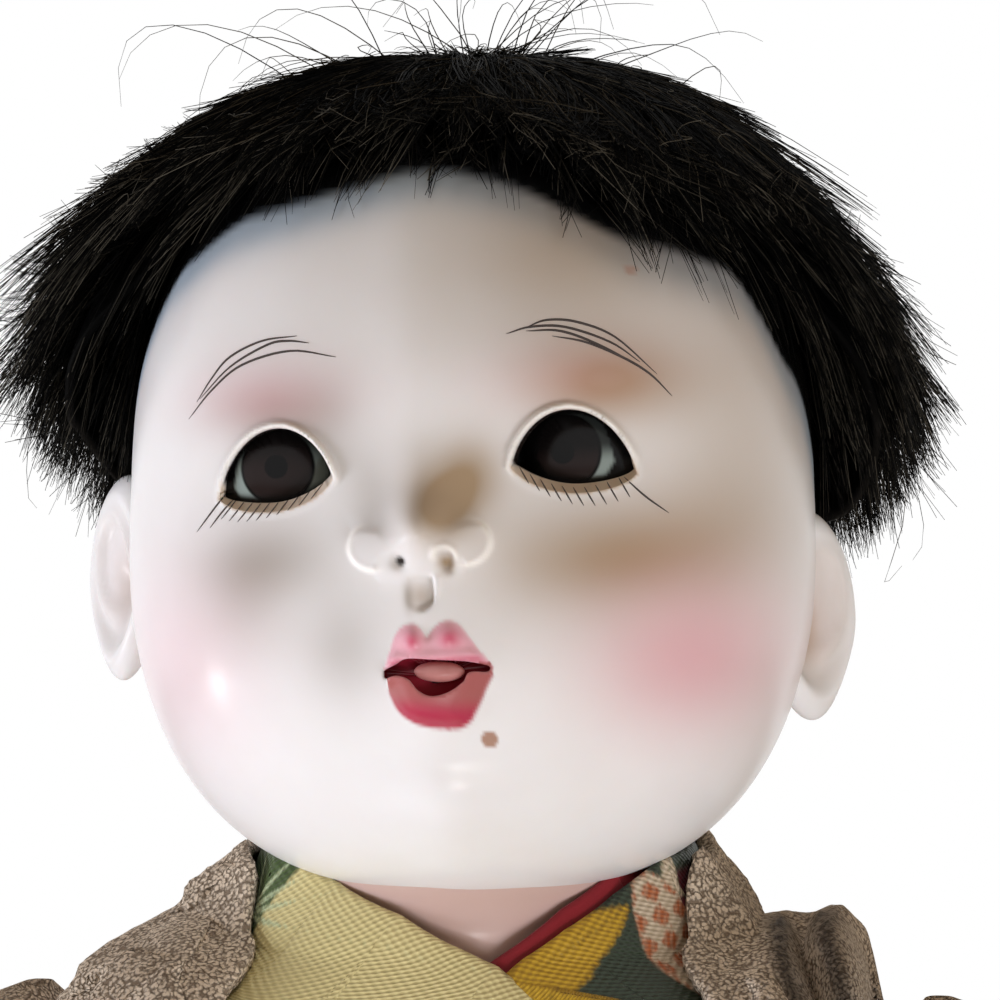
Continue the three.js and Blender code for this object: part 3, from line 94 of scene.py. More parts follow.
# Where the head's columns and rows crowd together, in radians: middle, half width, gain.
COLUMN_CROWDING = (0.0, 0.62, 6.0)
ROW_CROWDING = (-0.12, 0.63, 4.0)

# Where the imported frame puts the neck's axis and the head's middle.
PEG_LOW, PEG_HIGH = (np.array(corner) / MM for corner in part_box("neck_peg"))
AXIS_Y = (PEG_LOW[1] + PEG_HIGH[1]) / 2
HEAD_TOP = max(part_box(node)[1][2] for node in ("face_half", "skull_half")) / MM
HEAD_MIDDLE = np.array((0.0, AXIS_Y - HEAD_BEFORE_NECK, HEAD_TOP - SKULL_RISE))

# The neck: height about the head's middle, half width, half depth.
NECK_ROWS = (
    (-58.0, 15.0, 15.0),
    (-52.0, 16.2, 16.8),
    (-46.0, 17.0, 17.3),
    (-43.0, 17.4, 17.6),
    (-40.5, 18.0, 18.2),
    (-38.0, 19.2, 19.5),
    (-36.0, 20.0, 19.7),
)

# Soft swellings and hollows of the face: across, up, half width, half height, rise.
FACE_TOUCHES = (
    (15.0, 8.5, 9.0, 4.0, 0.6),
    (-15.0, 8.5, 9.0, 4.0, 0.6),
    (13.9, 0.4, 8.0, 5.5, -1.3),
    (-13.9, 0.4, 8.0, 5.5, -1.3),
    (22.0, -19.0, 11.0, 11.0, 1.4),
    (-22.0, -19.0, 11.0, 11.0, 1.4),
    (0.0, 2.5, 5.0, 5.0, -0.5),
    (0.5, -18.5, 9.0, 7.5, 1.5),
    (0.5, -27.3, 6.0, 2.2, -0.4),
    (1.0, -32.0, 8.0, 4.2, 1.3),
)

# Brown and grey painted shade on the face, round the nose, eyes and lips and on the left brow and temple:
# across, up, half width, half height, strength.
BROWN_SHADES = (
    (1.9, -3.8, 2.7, 3.0, 0.95),
    (4.5, -0.9, 3.2, 3.6, 0.76),
    (17.2, 6.8, 7.4, 4.0, 0.85),
    (17.0, -9.3, 9.5, 5.4, 0.82),
    (9.0, -9.4, 4.2, 4.0, 0.12),
    (27.5, -7.0, 7.0, 9.0, 0.38),
    (15.0, 19.5, 11.5, 9.0, 0.62),
    (29.5, 8.0, 6.5, 13.0, 0.32),
    (-0.7, -0.2, 2.4, 4.0, 0.15),
    (22.0, -20.0, 9.0, 6.0, 0.18),
    (2.1, -8.85, 0.65, 0.7, 0.8),
    (-0.5, -11.7, 1.1, 1.2, 0.45),
)
GREY_SHADES = (
    (-15.0, -7.6, 7.0, 3.6, 0.52),
    (-18.0, -11.0, 5.0, 5.0, 0.35),
    (-4.6, -2.5, 2.6, 5.0, 0.38),
    (-13.8, 6.4, 7.0, 3.2, 0.8),
    (-8.0, -16.0, 4.0, 5.0, 0.4),
    (-8.3, 3.0, 3.2, 4.5, 0.3),
    (-2.5, -8.8, 0.8, 0.6, 0.5),
    (-1.6, -11.8, 0.45, 1.3, 0.6),
)

# Blush on the cheeks and over the eyes, in the same terms.
BLUSHES = (
    (23.5, -19.0, 9.0, 7.5, 0.62),
    (-26.0, -17.0, 9.0, 9.5, 0.3),
    (14.0, 7.8, 8.5, 3.6, 0.2),
    (-15.0, 7.8, 8.5, 3.6, 0.3),
)

# The eyes: the lids' places are outward from an eye's middle and up, the irises' across the face and up.
EYE_SPREAD = 13.9
EYE_RISE = 0.4
EYE_RADIUS = 8.5
EYE_INSET = 2.3
EYE_GRID = (200, 128)
WEDGES = {-1: (4.0, 5.4), 1: (2.5, 4.2)}
IRIS_PLACES = {-1: (-14.2, 1.0), 1: (12.8, 0.7)}
LID_OUTER = (6.1, -2.1)
LID_TOP = (-0.3, 4.1)
LID_INNER = (-5.6, -0.9)
LID_BOTTOM = (0.6, -3.6)
LEDGE_HEIGHT = 0.85
LEDGE_HALF = 6.6
LID_LENGTHS = {-1: 1.0, 1: 0.92}
LID_SHADOW = {-1: (0.2, 3.0), 1: (-0.9, 1.0)}

# Marks on the openings' edges; each ring behind an edge counts one more.
EYE_TAGS = {-1: 10, 1: 20}
MOUTH_TAG = 30
TAG_STEP = 10

# The button nose: its middle, tip and bridge, the scoop under it, its wings and its nostrils.
NOSE_MIDDLE = -0.4
NOSE_TIP = (-0.2, -6.0)
TIP_RISE = 3.7
BRIDGE_RISE = 1.0
BUTTON_RISE = 2.6
PHILTRUM_TOP = -9.7
PHILTRUM_FOOT = -13.25
WING_SPREAD = 4.1
WING_RISE = -7.0
WING_HALF_WIDTH = 2.7
WING_HALF_HEIGHT = 2.35
NOSTRILS = ((-2.05, -8.45), (2.1, -8.3))

# The mouth's opening and the tongue, about the face's middle.
MOUTH_MIDDLE = (0.4, -19.1)
TONGUE_PLACE = (0.8, -18.75)
TONGUE_INSET = 1.3
TONGUE_HALVES = (2.35, 1.1, 0.95)
TONGUE_GRID = (32, 20)
MOUTH_OUTLINE = (
    (-4.5, -18.4), (-3.3, -17.9), (-2.0, -17.35), (0.6, -17.6), (3.4, -17.95),
    (5.3, -18.5), (5.2, -19.0), (3.7, -18.9), (3.0, -19.8), (1.55, -20.65),
    (0.0, -20.9), (-1.15, -20.3), (-2.0, -19.2), (-3.2, -18.85), (-4.4, -19.15),
)

# The upper lip's top edge with its two peaks, and the lower lip's foot.
UPPER_LIP_EDGE = (
    (-4.4, -18.2), (-3.7, -16.6), (-3.1, -15.2), (-2.3, -14.4), (-1.3, -14.2),
    (-0.6, -14.7), (-0.1, -15.4), (0.4, -14.9), (1.1, -14.3), (2.0, -14.1),
    (2.9, -14.5), (3.7, -15.6), (4.6, -17.0), (5.3, -17.9), (5.7, -18.6),
)
LOWER_LIP_EDGE = (
    (-4.1, -20.4), (-3.6, -22.0), (-2.6, -23.1), (-1.1, -23.8), (1.5, -24.2),
    (3.0, -23.7), (4.1, -22.0), (4.8, -20.6), (5.5, -19.4),
)

# The upper lip's two lobes, as they swell and as they are painted, in the same terms as the painted shade.
LIP_LOBES = ((-1.35, -15.7, 0.95, 1.0, 0.6), (2.1, -15.7, 1.1, 1.0, 0.6))
LIP_PEAKS = ((-1.35, -15.75, 0.72, 0.85, 1.0), (2.1, -15.7, 0.95, 0.9, 1.0))
UPPER_LIP_CLOSE = -19.6
LOWER_LIP_CLOSE = -17.6

# Hair: degrees from the front, latitude of the ends, thickness there.
HAIR_ENDS = (
    (0.0, 44.4, 4.2),
    (38.0, 36.8, 4.8),
    (55.0, 30.0, 6.8),
    (70.0, 14.0, 10.6),
    (90.0, 0.0, 12.2),
    (125.0, -13.5, 12.8),
    (180.0, -27.0, 12.0),
)
HAIR_CROWN = 3.2
HAIR_SLANT = 6.5
FRINGE_HALF = 58.0
NAPE_HALF = 42.0
HAIRS_IN_TUFT = 9
HAIR_STEPS = 6
CAP_GRID = (181, 61)
CAP_THICKNESS = 0.8
LOOSE_HAIRS = 420
LOOSE_STEPS = 9
FRINGE_DROP = 5.6
SIDE_THINNING = 2.2
LOOSE_ON_TOP = 60

# Heights up the doll.
HEM = 20.0
HIP = 150.0
OBI_FOOT = 185.0
OBI_TOP = 219.0
SHOULDER = 276.0
KIMONO_TOP = 294.0
HAORI_HEM = 96.0
HAORI_TOP = 296.5
WRIST = 209.0

# The robe's middle surface: height, half width, half depth, squareness.
ROBE_PROFILE = (
    (HEM, 46.0, 38.0, 2.3),
    (HIP, 37.0, 29.0, 2.3),
    (205.0, 34.5, 26.5, 2.3),
    (250.0, 36.5, 25.0, 3.0),
    (SHOULDER, 37.4, 22.0, 3.6),
    (286.0, 37.0, 20.5, 3.4),
    (291.0, 33.0, 19.5, 2.8),
    (297.0, 22.5, 18.5, 2.2),
    (306.4, 20.5, 18.2, 2.1),
)

# How far each layer of clothing stands off that surface.
WRAP_STEP = 1.4
COLLAR_NECK_OVER = 2.12
COLLAR_CHEST_OVER = 2.8
UNDER_COLLAR_OVER = -1.52
OBI_OVER = 3.1
HAORI_OVER = 5.85
HAORI_NECK_OVER = 4.37
SLEEVE_PLANE = 44.6
ARM_HANG = 56.92

# Each sheet's grid of columns and rows, and its thickness.
ROBE_SHEET = (200, 140, 0.8)
COLLAR_SHEET = (420, 44, 0.8)
UNDER_COLLAR_SHEET = (200, 16, 0.64)
OBI_SHEET = (181, 25, 1.2)
HAORI_SHEET = (200, 150, 1.3)
LAPEL_SHEET = (500, 28, 1.6)
SLEEVE_SHEETS = {"haori": (140, 110, 1.1), "kimono": (80, 60, 0.8)}
SLEEVE_INSETS = {"haori": 0.0, "kimono": 2.0}
ARMHOLE_RADIUS = 13.0
ARMHOLE_OUT = 20.0
ROBE_WRAP = math.radians(26.0)
HAORI_OPEN = (24.0, 27.0)

# Room for the sash's knot under the coat: rise, half width in radians, height, half height.
KNOT_ROOM = (9.5, 0.95, 202.0, 36.0)

# Solids that are rounded off: voxel size, rounds of smoothing.
KNOT_FINISH = (0.6, 14)
HAND_FINISH = (0.5, 6)
FOOT_FINISH = (0.8, 6)
LIMB_FINISH = (0.8, 10)
ROLL_FINISH = (1.0, 8)

# The flat cut of each garment, width and length.
KIMONO_CUT = (270.0, 275.0)
SLEEVE_CUT = (118.0, 130.0)

# How far each collar's edge is drawn in to the neck.
TUCKS = {-1: 3.3, 1: 2.2}

# The edge of each collar band at the neck: share of its length, bearing, height, width.
RIGHT_COLLAR = (
    (0.0, 0.0, 304.6, 11.0),
    (0.3, 96.0, 306.2, 11.0),
    (0.42, 125.0, 305.8, 11.0),
    (0.5, 148.0, 303.6, 12.5),
    (0.57, 168.0, 301.0, 14.5),
    (0.64, 188.0, 296.2, 15.0),
    (0.74, 203.0, 284.0, 15.0),
    (1.02, 216.0, 232.0, 14.0),
)
LEFT_COLLAR = (
    (0.0, 0.0, 304.6, 11.0),
    (0.3, 96.0, 306.6, 11.0),
    (0.42, 119.0, 305.9, 11.5),
    (0.49, 137.0, 302.7, 13.5),
    (0.55, 154.0, 299.6, 15.0),
    (0.61, 172.0, 295.2, 15.5),
    (0.72, 190.0, 285.0, 15.0),
    (1.02, 212.0, 232.0, 13.0),
)
UNDER_RIGHT = (
    (0.0, 0.0, 305.6, 9.0),
    (0.5, 96.0, 307.0, 9.0),
    (0.68, 122.0, 305.2, 9.0),
    (0.8, 146.0, 300.4, 9.0),
    (1.02, 178.0, 293.6, 9.0),
)
UNDER_LEFT = (
    (0.0, 0.0, 305.6, 9.0),
    (0.5, 94.0, 308.0, 9.0),
    (0.62, 112.0, 307.8, 9.0),
    (0.74, 134.0, 305.2, 9.0),
    (0.86, 153.0, 301.8, 9.0),
    (1.02, 177.0, 295.6, 9.0),
)

# The lapels' edge round the neck: share of its length, bearing, height, width.
LAPEL_EDGES = {
    -1: ((0.0, 0.0, 305.4, 9.5), (0.16, 78.0, 306.0, 9.5), (0.22, 102.0, 305.6, 9.5)),
    1: ((0.0, 0.0, 305.4, 9.5), (0.16, 78.0, 307.4, 9.5), (0.22, 102.0, 307.0, 9.5)),
}
LAPEL_NECK_OPEN = {-1: 21.4, 1: 22.2}
LAPEL_OPEN = {-1: 21.0, 1: 24.4}
LAPEL_HEM_OPEN = 18.5
LAPEL_WIDTH = 13.0
LAPEL_NECK_WIDTH = 10.5

# The lapels down the front: share of their length, height.
LAPEL_RUN = (
    (0.255, 304.0),
    (0.275, 301.0),
    (0.295, 298.0),
    (0.32, 294.5),
    (0.345, 291.0),
    (0.37, 287.5),
    (0.42, SHOULDER),
    (0.53, 250.0),
    (0.66, OBI_TOP),
    (0.83, 150.0),
    (1.02, HAORI_HEM - 3.0),
)

# The coat's grid crowds near the left shoulder, in shares: middle, half width, gain.
HAORI_ROW_CROWDING = (0.95, 0.1, 2.5)
HAORI_COLUMN_CROWDING = (0.9, 0.09, 2.5)

# Sloping lines that the coat stays under: start across, height there, fall.
RIGHT_SHOULDER_SLOPE = (22.6, 306.8, 0.77)
LAPEL_SLOPE = (20.4, 310.1, 1.45)

# The left shoulder climbs in steps: rise, and where it starts and ends across.
LEFT_SHOULDER_STEPS = ((1.6, 20.0, 26.0), (3.0, 26.0, 33.0), (3.4, 33.0, 38.0))

# A sleeve: height, breadth, half depth, how far forward it lies, how far off the body.
SLEEVE_ROWS = (
    (160.0, 20.2, 25.4, 4.0, 3.0),
    (164.0, 24.1, 27.0, 4.0, 2.0),
    (200.0, 28.0, 27.0, 4.0, 1.0),
    (240.0, 26.3, 20.5, 1.6, 0.0),
    (270.0, 24.1, 16.7, 0.0, 0.0),
    (284.0, 17.9, 13.0, 0.0, 0.0),
    (291.5, 4.5, 5.4, 0.0, 0.0),
)

# Leaves printed on the collars: place along and down the band, degrees, length, half breadth.
CREAM_LEAF = (24.4, -0.4, 125.0, 8.5, 1.5)
MOTTLED_LEAF = (20.4, -0.6, 107.0, 17.0, 3.8)
MUSTARD_LEAVES = ((0.5, 2.0, 55.0, 14.0, 3.0), (-4.0, 1.7, -1.1, 20.8, 3.0))
VEIN_ANGLES = (-78.0, -58.0, -40.0, -20.0, 25.0, 50.0, 75.0)

# The kimono's weave: its slant on the cloth, and how much darker its gaps are painted, as painted shade.
WEAVE_SLANT = math.radians(28.0)
WEAVE_SHADE = (0.68, 0.64, 0.56, 1.0)

# The camera stands where the photograph was taken from.
CAMERA_TARGET = np.array((1.9, 0.0, 342.0))
CAMERA_AZIMUTH = math.radians(7.0)
CAMERA_DISTANCE = 330.0
PICTURE_SIDE = 1000
FOCAL_PIXELS = 3158.0
SENSOR_SIDE = 36.0
CLIP_START = 0.01
FLOOR_SIDE = 2.4

# Lamps: name, place and size in metres, watts, tint, and whether they glint on the doll.
LAMPS = (
    ("key_light", (-0.85, -0.2, 0.2), 0.45, 5.3, "E8EEFF", False),
    ("low_light", (0.2, -0.36, 0.0), 0.4, 2.6, "F0F4FF", False),
    ("fill_light", (0.8, -0.35, 0.3), 0.5, 0.6, "FFF4E8", False),
    ("cheek_light", (-0.57, -0.06, 0.09), 0.1, 0.32, "FFFFFF", True),
    ("chin_light", (0.05, -0.42, 0.02), 0.08, 0.26, "FFFFFF", True),
)

# The second tone that a colour wanders to.
SECOND_TONES = {
    "gofun": "EBE7E4",
    "tongue": "B5706C",
    "brush": "4A3E38",
    # The hair's second tone is the grey brown of its lightest hairs, partly a painted glint.
    "hair": "5C574C",
    "haori": "E4D4BE",
    "crimson": "8A1622",
    "sash": "7A4532",
    "muslin": "C2B59C",
    "wood": "A88B62",
    "leather": "553A26",
}

# Tones of lines and gaps, some of them painted liner and shade.
PUPIL_TONE = "080708"
IRIS_RING_TONE = "0A0909"
# Painted liner and shade along the lids, on the eyeballs.
LID_LINER_AND_SHADE_TONE = "0B0A0A"
MUSTARD_LINE_TONE = "6B5214"
VEIN_TONE = "C9D9B0"
LEAF_LINE_TONE = "3A2A18"
# Painted shade in the crepe's gaps.
CREPE_GAP_SHADE_TONE = "8A7A68"
# Painted shade in the coat's shoulder folds.
FOLD_SHADE_TONE = "241A12"
WORLD_TONE = "FFE7CC"

# Brow and lash strokes, drawn through points of the picture, with its own left and right.
BROW_STROKES = (
    ((197, 402), (212, 378), (230, 357), (262, 341), (297, 336)),
    ((200, 399), (230, 367), (267, 345), (288, 341), (309, 343)),
    ((189, 419), (212, 390), (242, 365), (290, 351), (336, 357)),
    ((527, 327), (547, 320), (577, 322), (615, 337), (657, 374)),
    ((506, 334), (530, 327), (565, 327), (610, 342), (640, 362)),
    ((526, 331), (560, 331), (597, 344), (640, 366)),
    ((552, 336), (585, 342), (622, 357), (650, 374), (672, 396)),
)
LONG_LASHES = (
    ((229, 490), (214, 509), (197, 532)),
    ((236, 497), (223, 511), (210, 528)),
    ((624, 477), (645, 496), (669, 513)),
)
LEFT_LID = ((236, 494), (270, 513), (329, 480))
RIGHT_LID = ((514, 463), (566, 505), (624, 474))

# Rows of short lashes: the lid, the first and last length, and the ways to the middle and the tip.
LASHES_IN_ROW = 10
SHORT_LASHES = (
    (LEFT_LID, 30.0, 19.0, (-0.32, 0.42), (-0.62, 0.8)),
    (RIGHT_LID, 19.0, 24.0, (0.26, 0.45), (0.5, 0.86)),
)
BROW_WEIGHT = 1.0
LONG_LASH_WEIGHT = 0.75
SHORT_LASH_WEIGHT = 0.6
STROKE_POINTS = 25


def linear(code):
    """The linear colour of an sRGB hex code."""
    values = [int(code[k : k + 2], 16) / 255 for k in (0, 2, 4)]
    return tuple(v / 12.92 if v <= 0.04045 else ((v + 0.055) / 1.055) ** 2.4 for v in values) + (1.0,)


def length_prop(label, about, default):
    """A length in metres that the panel shows."""
    return bpy.props.FloatProperty(
        name=label, description=about, default=default, unit="LENGTH", precision=5
    )


def colour_prop(label, about, code):
    """A colour that the panel shows."""
    return bpy.props.FloatVectorProperty(
        name=label, description=about, default=linear(code), size=4, subtype="COLOR", min=0.0, max=1.0
    )


class DollSizes(bpy.types.PropertyGroup):
    """Sizes of the doll's finish that a user would change."""

    head_half_width: length_prop("Head half width", "Half of the head's greatest width", 0.0353)
    strand_width: length_prop("Strand width", "Drawn coarser than real hair so that it shows", 0.00022)
    flyaway_width: length_prop("Flyaway width", "Width of a loose hair", 0.00016)
    iris_radius: length_prop("Iris radius", "Radius of the painted iris", 0.0034)
    brush_width: length_prop("Brush width", "Width of a brow or lash stroke", 0.00026)
    crepe_pitch: length_prop("Crepe pitch", "Size of the haori's crepe grain", 0.00046)
    weave_pitch: length_prop("Weave pitch", "Pitch of the kimono's coarse weave", 0.0009)
    camera_distance: length_prop("Camera distance", "From the camera to its target", CAMERA_DISTANCE * MM)
    strands: bpy.props.IntProperty(name="Strands", description="Hairs in each weft", default=4500)


class DollColours(bpy.types.PropertyGroup):
    """Colours of the doll's paint and cloth."""

    gofun: colour_prop("Gofun", "Ground shell white of the skin", "F2F1F0")
    lip: colour_prop("Lower lip", "Deep rose of the lower lip", "B63350")
    lip_pale: colour_prop("Upper lip", "Pale rose of the upper lip", "EBA6B4")
    lip_peak: colour_prop("Lip peaks", "Deeper rose on the upper lip's peaks", "CC5670")
    worn_lip: colour_prop("Worn lip", "Brown rose where the lower lip is worn", "A86A62")
    blush: colour_prop("Blush", "Pink of the cheeks", "E39AA6")
    # Age and Grey are painted shade: brown in the hollows and on the face's left, grey round the right eye,
    # the nose and the lips.
    age: colour_prop("Age", "Brown of old gofun in the hollows", "9E7F53")
    grey: colour_prop("Grey", "Grey of worn gofun", "918577")
    cold: colour_prop("Hairline", "Blue-grey wash along the hairline", "AEBDC9")
    # The lid rim tint is a painted highlight along the rims of the lids, the nose wings and a nostril's
    # arch.
    rim: colour_prop("Lid rim", "Pale rim of the lids and the nose", "FFFAF2")
    chip: colour_prop("Chip", "Where the gofun has chipped", "B08A76")
    ledge: colour_prop("Lid ledge", "Tan of the lower lids", "F0DECA")
    dark: colour_prop("Mouth", "Maroon of the mouth's opening", "8A2030")
    tongue: colour_prop("Tongue", "Pale pink of the tongue", "C68A84")
    brush: colour_prop("Brush ink", "Ink of the brows and lashes", "2A2220")
    hair: colour_prop("Hair", "Black of the hair", "030303")
    iris: colour_prop("Iris", "Brown black of the iris", "241B1A")
    sclera: colour_prop("Sclera", "Grey green of the eye's white", "8A9691")
    haori: colour_prop("Haori", "Brown grey of the haori's crepe", "DBC8B0")
    gold: colour_prop("Gold silk", "Gold of the right front", "E9DDA2")
    mustard: colour_prop("Mustard", "Mustard of the large leaves", "C79F25")
    green: colour_prop("Green", "Dark green of the left front", "2F3B2A")
    leaf: colour_prop("Leaf green", "Fresh green of the small leaves", "44592C")
    cream: colour_prop("Cream", "Cream of the mottled leaves", "D8C8B0")
    rust: colour_prop("Rust", "Rust of the mottled leaves' spots", "B65B20")
    wine: colour_prop("Wine", "Dark red between the leaves", "5A1420")
    crimson: colour_prop("Crimson", "Red of the under collar", "6E0C17")
    sash: colour_prop("Sash", "Dull red brown of the sash", "6B3A2A")
    muslin: colour_prop("Muslin", "Undyed cloth of the limbs", "CFC4AE")
    wood: colour_prop("Wood", "Pale wood of the chest and hips", "B79C74")
    leather: colour_prop("Leather", "Leather of the neck washer", "6A4A30")
    floor: colour_prop("Floor", "Pale studio floor", "F2F1EF")


def size(name):
    """One of the panel's lengths, in millimetres."""
    return getattr(bpy.context.scene.doll_sizes, name) / MM


def colour(name):
    """One of the panel's colours."""
    return tuple(getattr(bpy.context.scene.doll_colours, name))


def second_tone(name):
    """The tone that one of the panel's colours wanders to."""
    return linear(SECOND_TONES[name])


def smoothstep(value, low, high):
    """An eased step from 0 at low to 1 at high."""
    share = np.clip((value - low) / (high - low), 0.0, 1.0)
    return share * share * (3.0 - 2.0 * share)


def fade(value, low, high):
    """An eased step from 1 at low to 0 at high."""
    return 1.0 - smoothstep(value, low, high)


def mix(first, second, share):
    """A value between two others."""
    return first + (second - first) * share


def bell(value, width):
    """A round bump of height 1."""
    return np.exp(-((value / width) ** 2))


def blots(u, w, rows, start=0.0):
    """Soft spots added to a start, from rows of across, up, half width, half height, strength."""
    return sum((much * bell(u - x, wide) * bell(w - z, tall) for x, z, wide, tall, much in rows), start)


def arch(share):
    """A round arch of height 1 over shares from 0 to 1."""
    return np.sqrt(np.clip(1.0 - (2.0 * share - 1.0) ** 2, 0.0, 1.0))


def signed_power(value, power):
    """A power that keeps the value's sign."""
    return np.sign(value) * np.abs(value) ** power


def unit(ways):
    """Vectors of length 1."""
    return ways / np.maximum(np.linalg.norm(ways, axis=-1, keepdims=True), 1e-9)


def stations(value, rows):
    """Values between rows of [place, values], partly straight and partly eased."""
    table = np.array(rows, float)
    value = np.asarray(value, float)
    index = np.clip(np.searchsorted(table[:, 0], value, side="right") - 1, 0, len(table) - 2)
    low, high = table[index], table[index + 1]
    share = np.clip((value - low[..., 0]) / (high[..., 0] - low[..., 0]), 0.0, 1.0)
    eased = mix(share, smoothstep(share, 0.0, 1.0), 0.6)
    return np.moveaxis(mix(low, high, eased[..., None])[..., 1:], -1, 0)


def crowded(values, low, high, focus, half_width, gain):
    """Spreads even values so that they lie gain times closer round a focus."""
    ways = np.linspace(low, high, 2001)
    density = 1.0 + (gain - 1.0) * np.exp(-(((ways - focus) / half_width) ** 4))
    reach = np.concatenate(((0.0,), np.cumsum((density[1:] + density[:-1]) / 2)))
    return np.interp(values, low + (high - low) * reach / reach[-1], ways)


def bezier(points, share):
    """Points of a Bezier curve of any degree."""
    rows = [np.array(p, float)[None, :] for p in points]
    share = np.asarray(share, float)[:, None]
    while len(rows) > 1:
        rows = [mix(a, b, share) for a, b in zip(rows, rows[1:])]
    return np.broadcast_to(rows[0], (len(share), len(points[0])))


def smooth_line(points, count):
    """A curve through points, as Catmull and Rom draw it."""
    p = np.array(points, float)
    p = np.vstack((2 * p[0] - p[1], p, 2 * p[-1] - p[-2]))
    t = np.linspace(0, len(p) - 3 - 1e-9, count)
    k = t.astype(int)
    s = (t - k)[:, None]
    a, b, c, d = p[k], p[k + 1], p[k + 2], p[k + 3]
    straight = 2 * b + (c - a) * s
    bent = (2 * a - 5 * b + 4 * c - d) * s**2
    twisted = (3 * b - a - 3 * c + d) * s**3
    return 0.5 * (straight + bent + twisted)


def coordinates(piece):
    """A piece's vertices, as an array in metres."""
    values = np.empty(len(piece.data.vertices) * 3)
    piece.data.vertices.foreach_get("co", values)
    return values.reshape(-1, 3)


def set_coordinates(piece, places):
    """Moves a piece's vertices to places in millimetres."""
    piece.data.vertices.foreach_set("co", (np.asarray(places) * MM).ravel())
    piece.data.update()


def paint(piece, name, values):
    """Stores one number, or one vector or colour, per vertex."""
    values = np.asarray(values, float)
    kinds = {1: "FLOAT", 3: "FLOAT_VECTOR", 4: "FLOAT_COLOR"}
    width = 1 if values.ndim == 1 else values.shape[1]
    layer = piece.data.attributes.new(name, kinds[width], "POINT")
    layer.data.foreach_set({1: "value", 3: "vector", 4: "color"}[width], values.ravel())


def add_mesh(name, points, faces):
    """A new piece from points in millimetres and faces."""
    mesh = bpy.data.meshes.new(name)
    mesh.from_pydata((np.asarray(points) * MM).tolist(), [], faces)
    piece = bpy.data.objects.new(name, mesh)
    bpy.context.scene.collection.objects.link(piece)
    return piece


def choose(piece):
    """Makes a piece the only one that is selected."""
    bpy.ops.object.select_all(action="DESELECT")
    piece.select_set(True)
    bpy.context.view_layer.objects.active = piece


def add_ball(name, columns, rows):
    """A unit ball, named."""
    bpy.ops.object.select_all(action="DESELECT")
    bpy.ops.mesh.primitive_uv_sphere_add(segments=columns, ring_count=rows, radius=1.0)
    ball = bpy.context.object
    ball.name = name
    return ball


def add_grid(name, columns, rows, place, closed=False):
    """A grid of cloth shaped by place(u, v), in millimetres, and sewn up where its sides meet."""
    bpy.ops.object.select_all(action="DESELECT")
    bpy.ops.mesh.primitive_grid_add(x_subdivisions=columns, y_subdivisions=rows, size=2.0)
    piece = bpy.context.object
    piece.name = name
    flat = coordinates(piece)
    u, v = (flat[:, 0] + 1) / 2, (flat[:, 1] + 1) / 2
    set_coordinates(piece, place(u, v))
    if closed:
        face_out(piece, join=True)
    return piece, u, v


def face_out(piece, join=False):
    """Turns every face outwards, after joining vertices that lie on each other if asked."""
    choose(piece)
    bpy.ops.object.mode_set(mode="EDIT")
    bpy.ops.mesh.select_all(action="SELECT")
    if join:
        bpy.ops.mesh.remove_doubles(threshold=1e-6)
    bpy.ops.mesh.normals_make_consistent(inside=False)
    bpy.ops.object.mode_set(mode="OBJECT")


def modify(piece, kind, **settings):
    """Adds a modifier and applies it."""
    choose(piece)
    bpy.ops.object.modifier_add(type=kind)
    modifier = piece.modifiers[-1]
    for name, value in settings.items():
        setattr(modifier, name, value)
    bpy.ops.object.modifier_apply(modifier=modifier.name)


def coat(piece, material):
    """Makes a material the only one of a piece."""
    piece.data.materials.clear()
    piece.data.materials.append(material)


def dress(piece, material, body, slot, *nodes):
    """Shades a piece smooth, gives it its material and body, and hides the nodes that it stands for; the
    slot is not used.
    """
    choose(piece)
    bpy.ops.object.shade_smooth()
    coat(piece, material)
    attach(piece, body)
    if nodes:
        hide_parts(*nodes)


def add_node(tree, kind, settings=None, links=None):
    """Adds a shader node; settings go to sockets or properties, links come into its sockets."""
    node = tree.nodes.new(kind)
    for name, value in (settings or {}).items():
        if isinstance(name, int) or name in node.inputs:
            node.inputs[name].default_value = value
        else:
            setattr(node, name, value)
    for name, source in (links or {}).items():
        tree.links.new(source, node.inputs[name])
    return node


def new_material(name, **sockets):
    """A material, its node tree and its shader, with uniform values set on the shader's sockets."""
    material = bpy.data.materials.new(name)
    material.use_nodes = True
    shader = material.node_tree.nodes["Principled BSDF"]
    for socket, value in sockets.items():
        shader.inputs[socket.replace("_", " ")].default_value = value
    return material, material.node_tree, shader


def blend_colour(tree, share, first, second):
    """Mixes two colours, each a socket or a value, by a share that is a socket."""
    node = add_node(tree, "ShaderNodeMix", {"data_type": "RGBA"}, {0: share})
    for place, value in ((6, first), (7, second)):
        if isinstance(value, bpy.types.NodeSocket):
            tree.links.new(value, node.inputs[place])
        else:
            node.inputs[place].default_value = value
    return node.outputs[2]


def painted(tree, name):
    """The value of a vertex attribute."""
    return add_node(tree, "ShaderNodeAttribute", {"attribute_name": name})


def grain(tree, pitch, detail=2.0, vector=None):
    """A noise with a grain of the given pitch in millimetres."""
    if vector is None:
        vector = add_node(tree, "ShaderNodeTexCoord").outputs["Object"]
    settings = {"Scale": 1.0 / (pitch * MM), "Detail": detail}
    return add_node(tree, "ShaderNodeTexNoise", settings, {"Vector": vector}).outputs["Fac"]


def roughen(tree, shader, height, depth, strength=1.0):
    """Bumps a shader's surface by a height socket, depth in millimetres."""
    settings = {"Strength": strength, "Distance": depth * MM}
    bump = add_node(tree, "ShaderNodeBump", settings, {"Height": height})
    tree.links.new(bump.outputs["Normal"], shader.inputs["Normal"])


def maths(tree, operation, *sources):
    """The result of an operation on sockets."""
    settings = {"operation": operation}
    return add_node(tree, "ShaderNodeMath", settings, dict(enumerate(sources))).outputs[0]


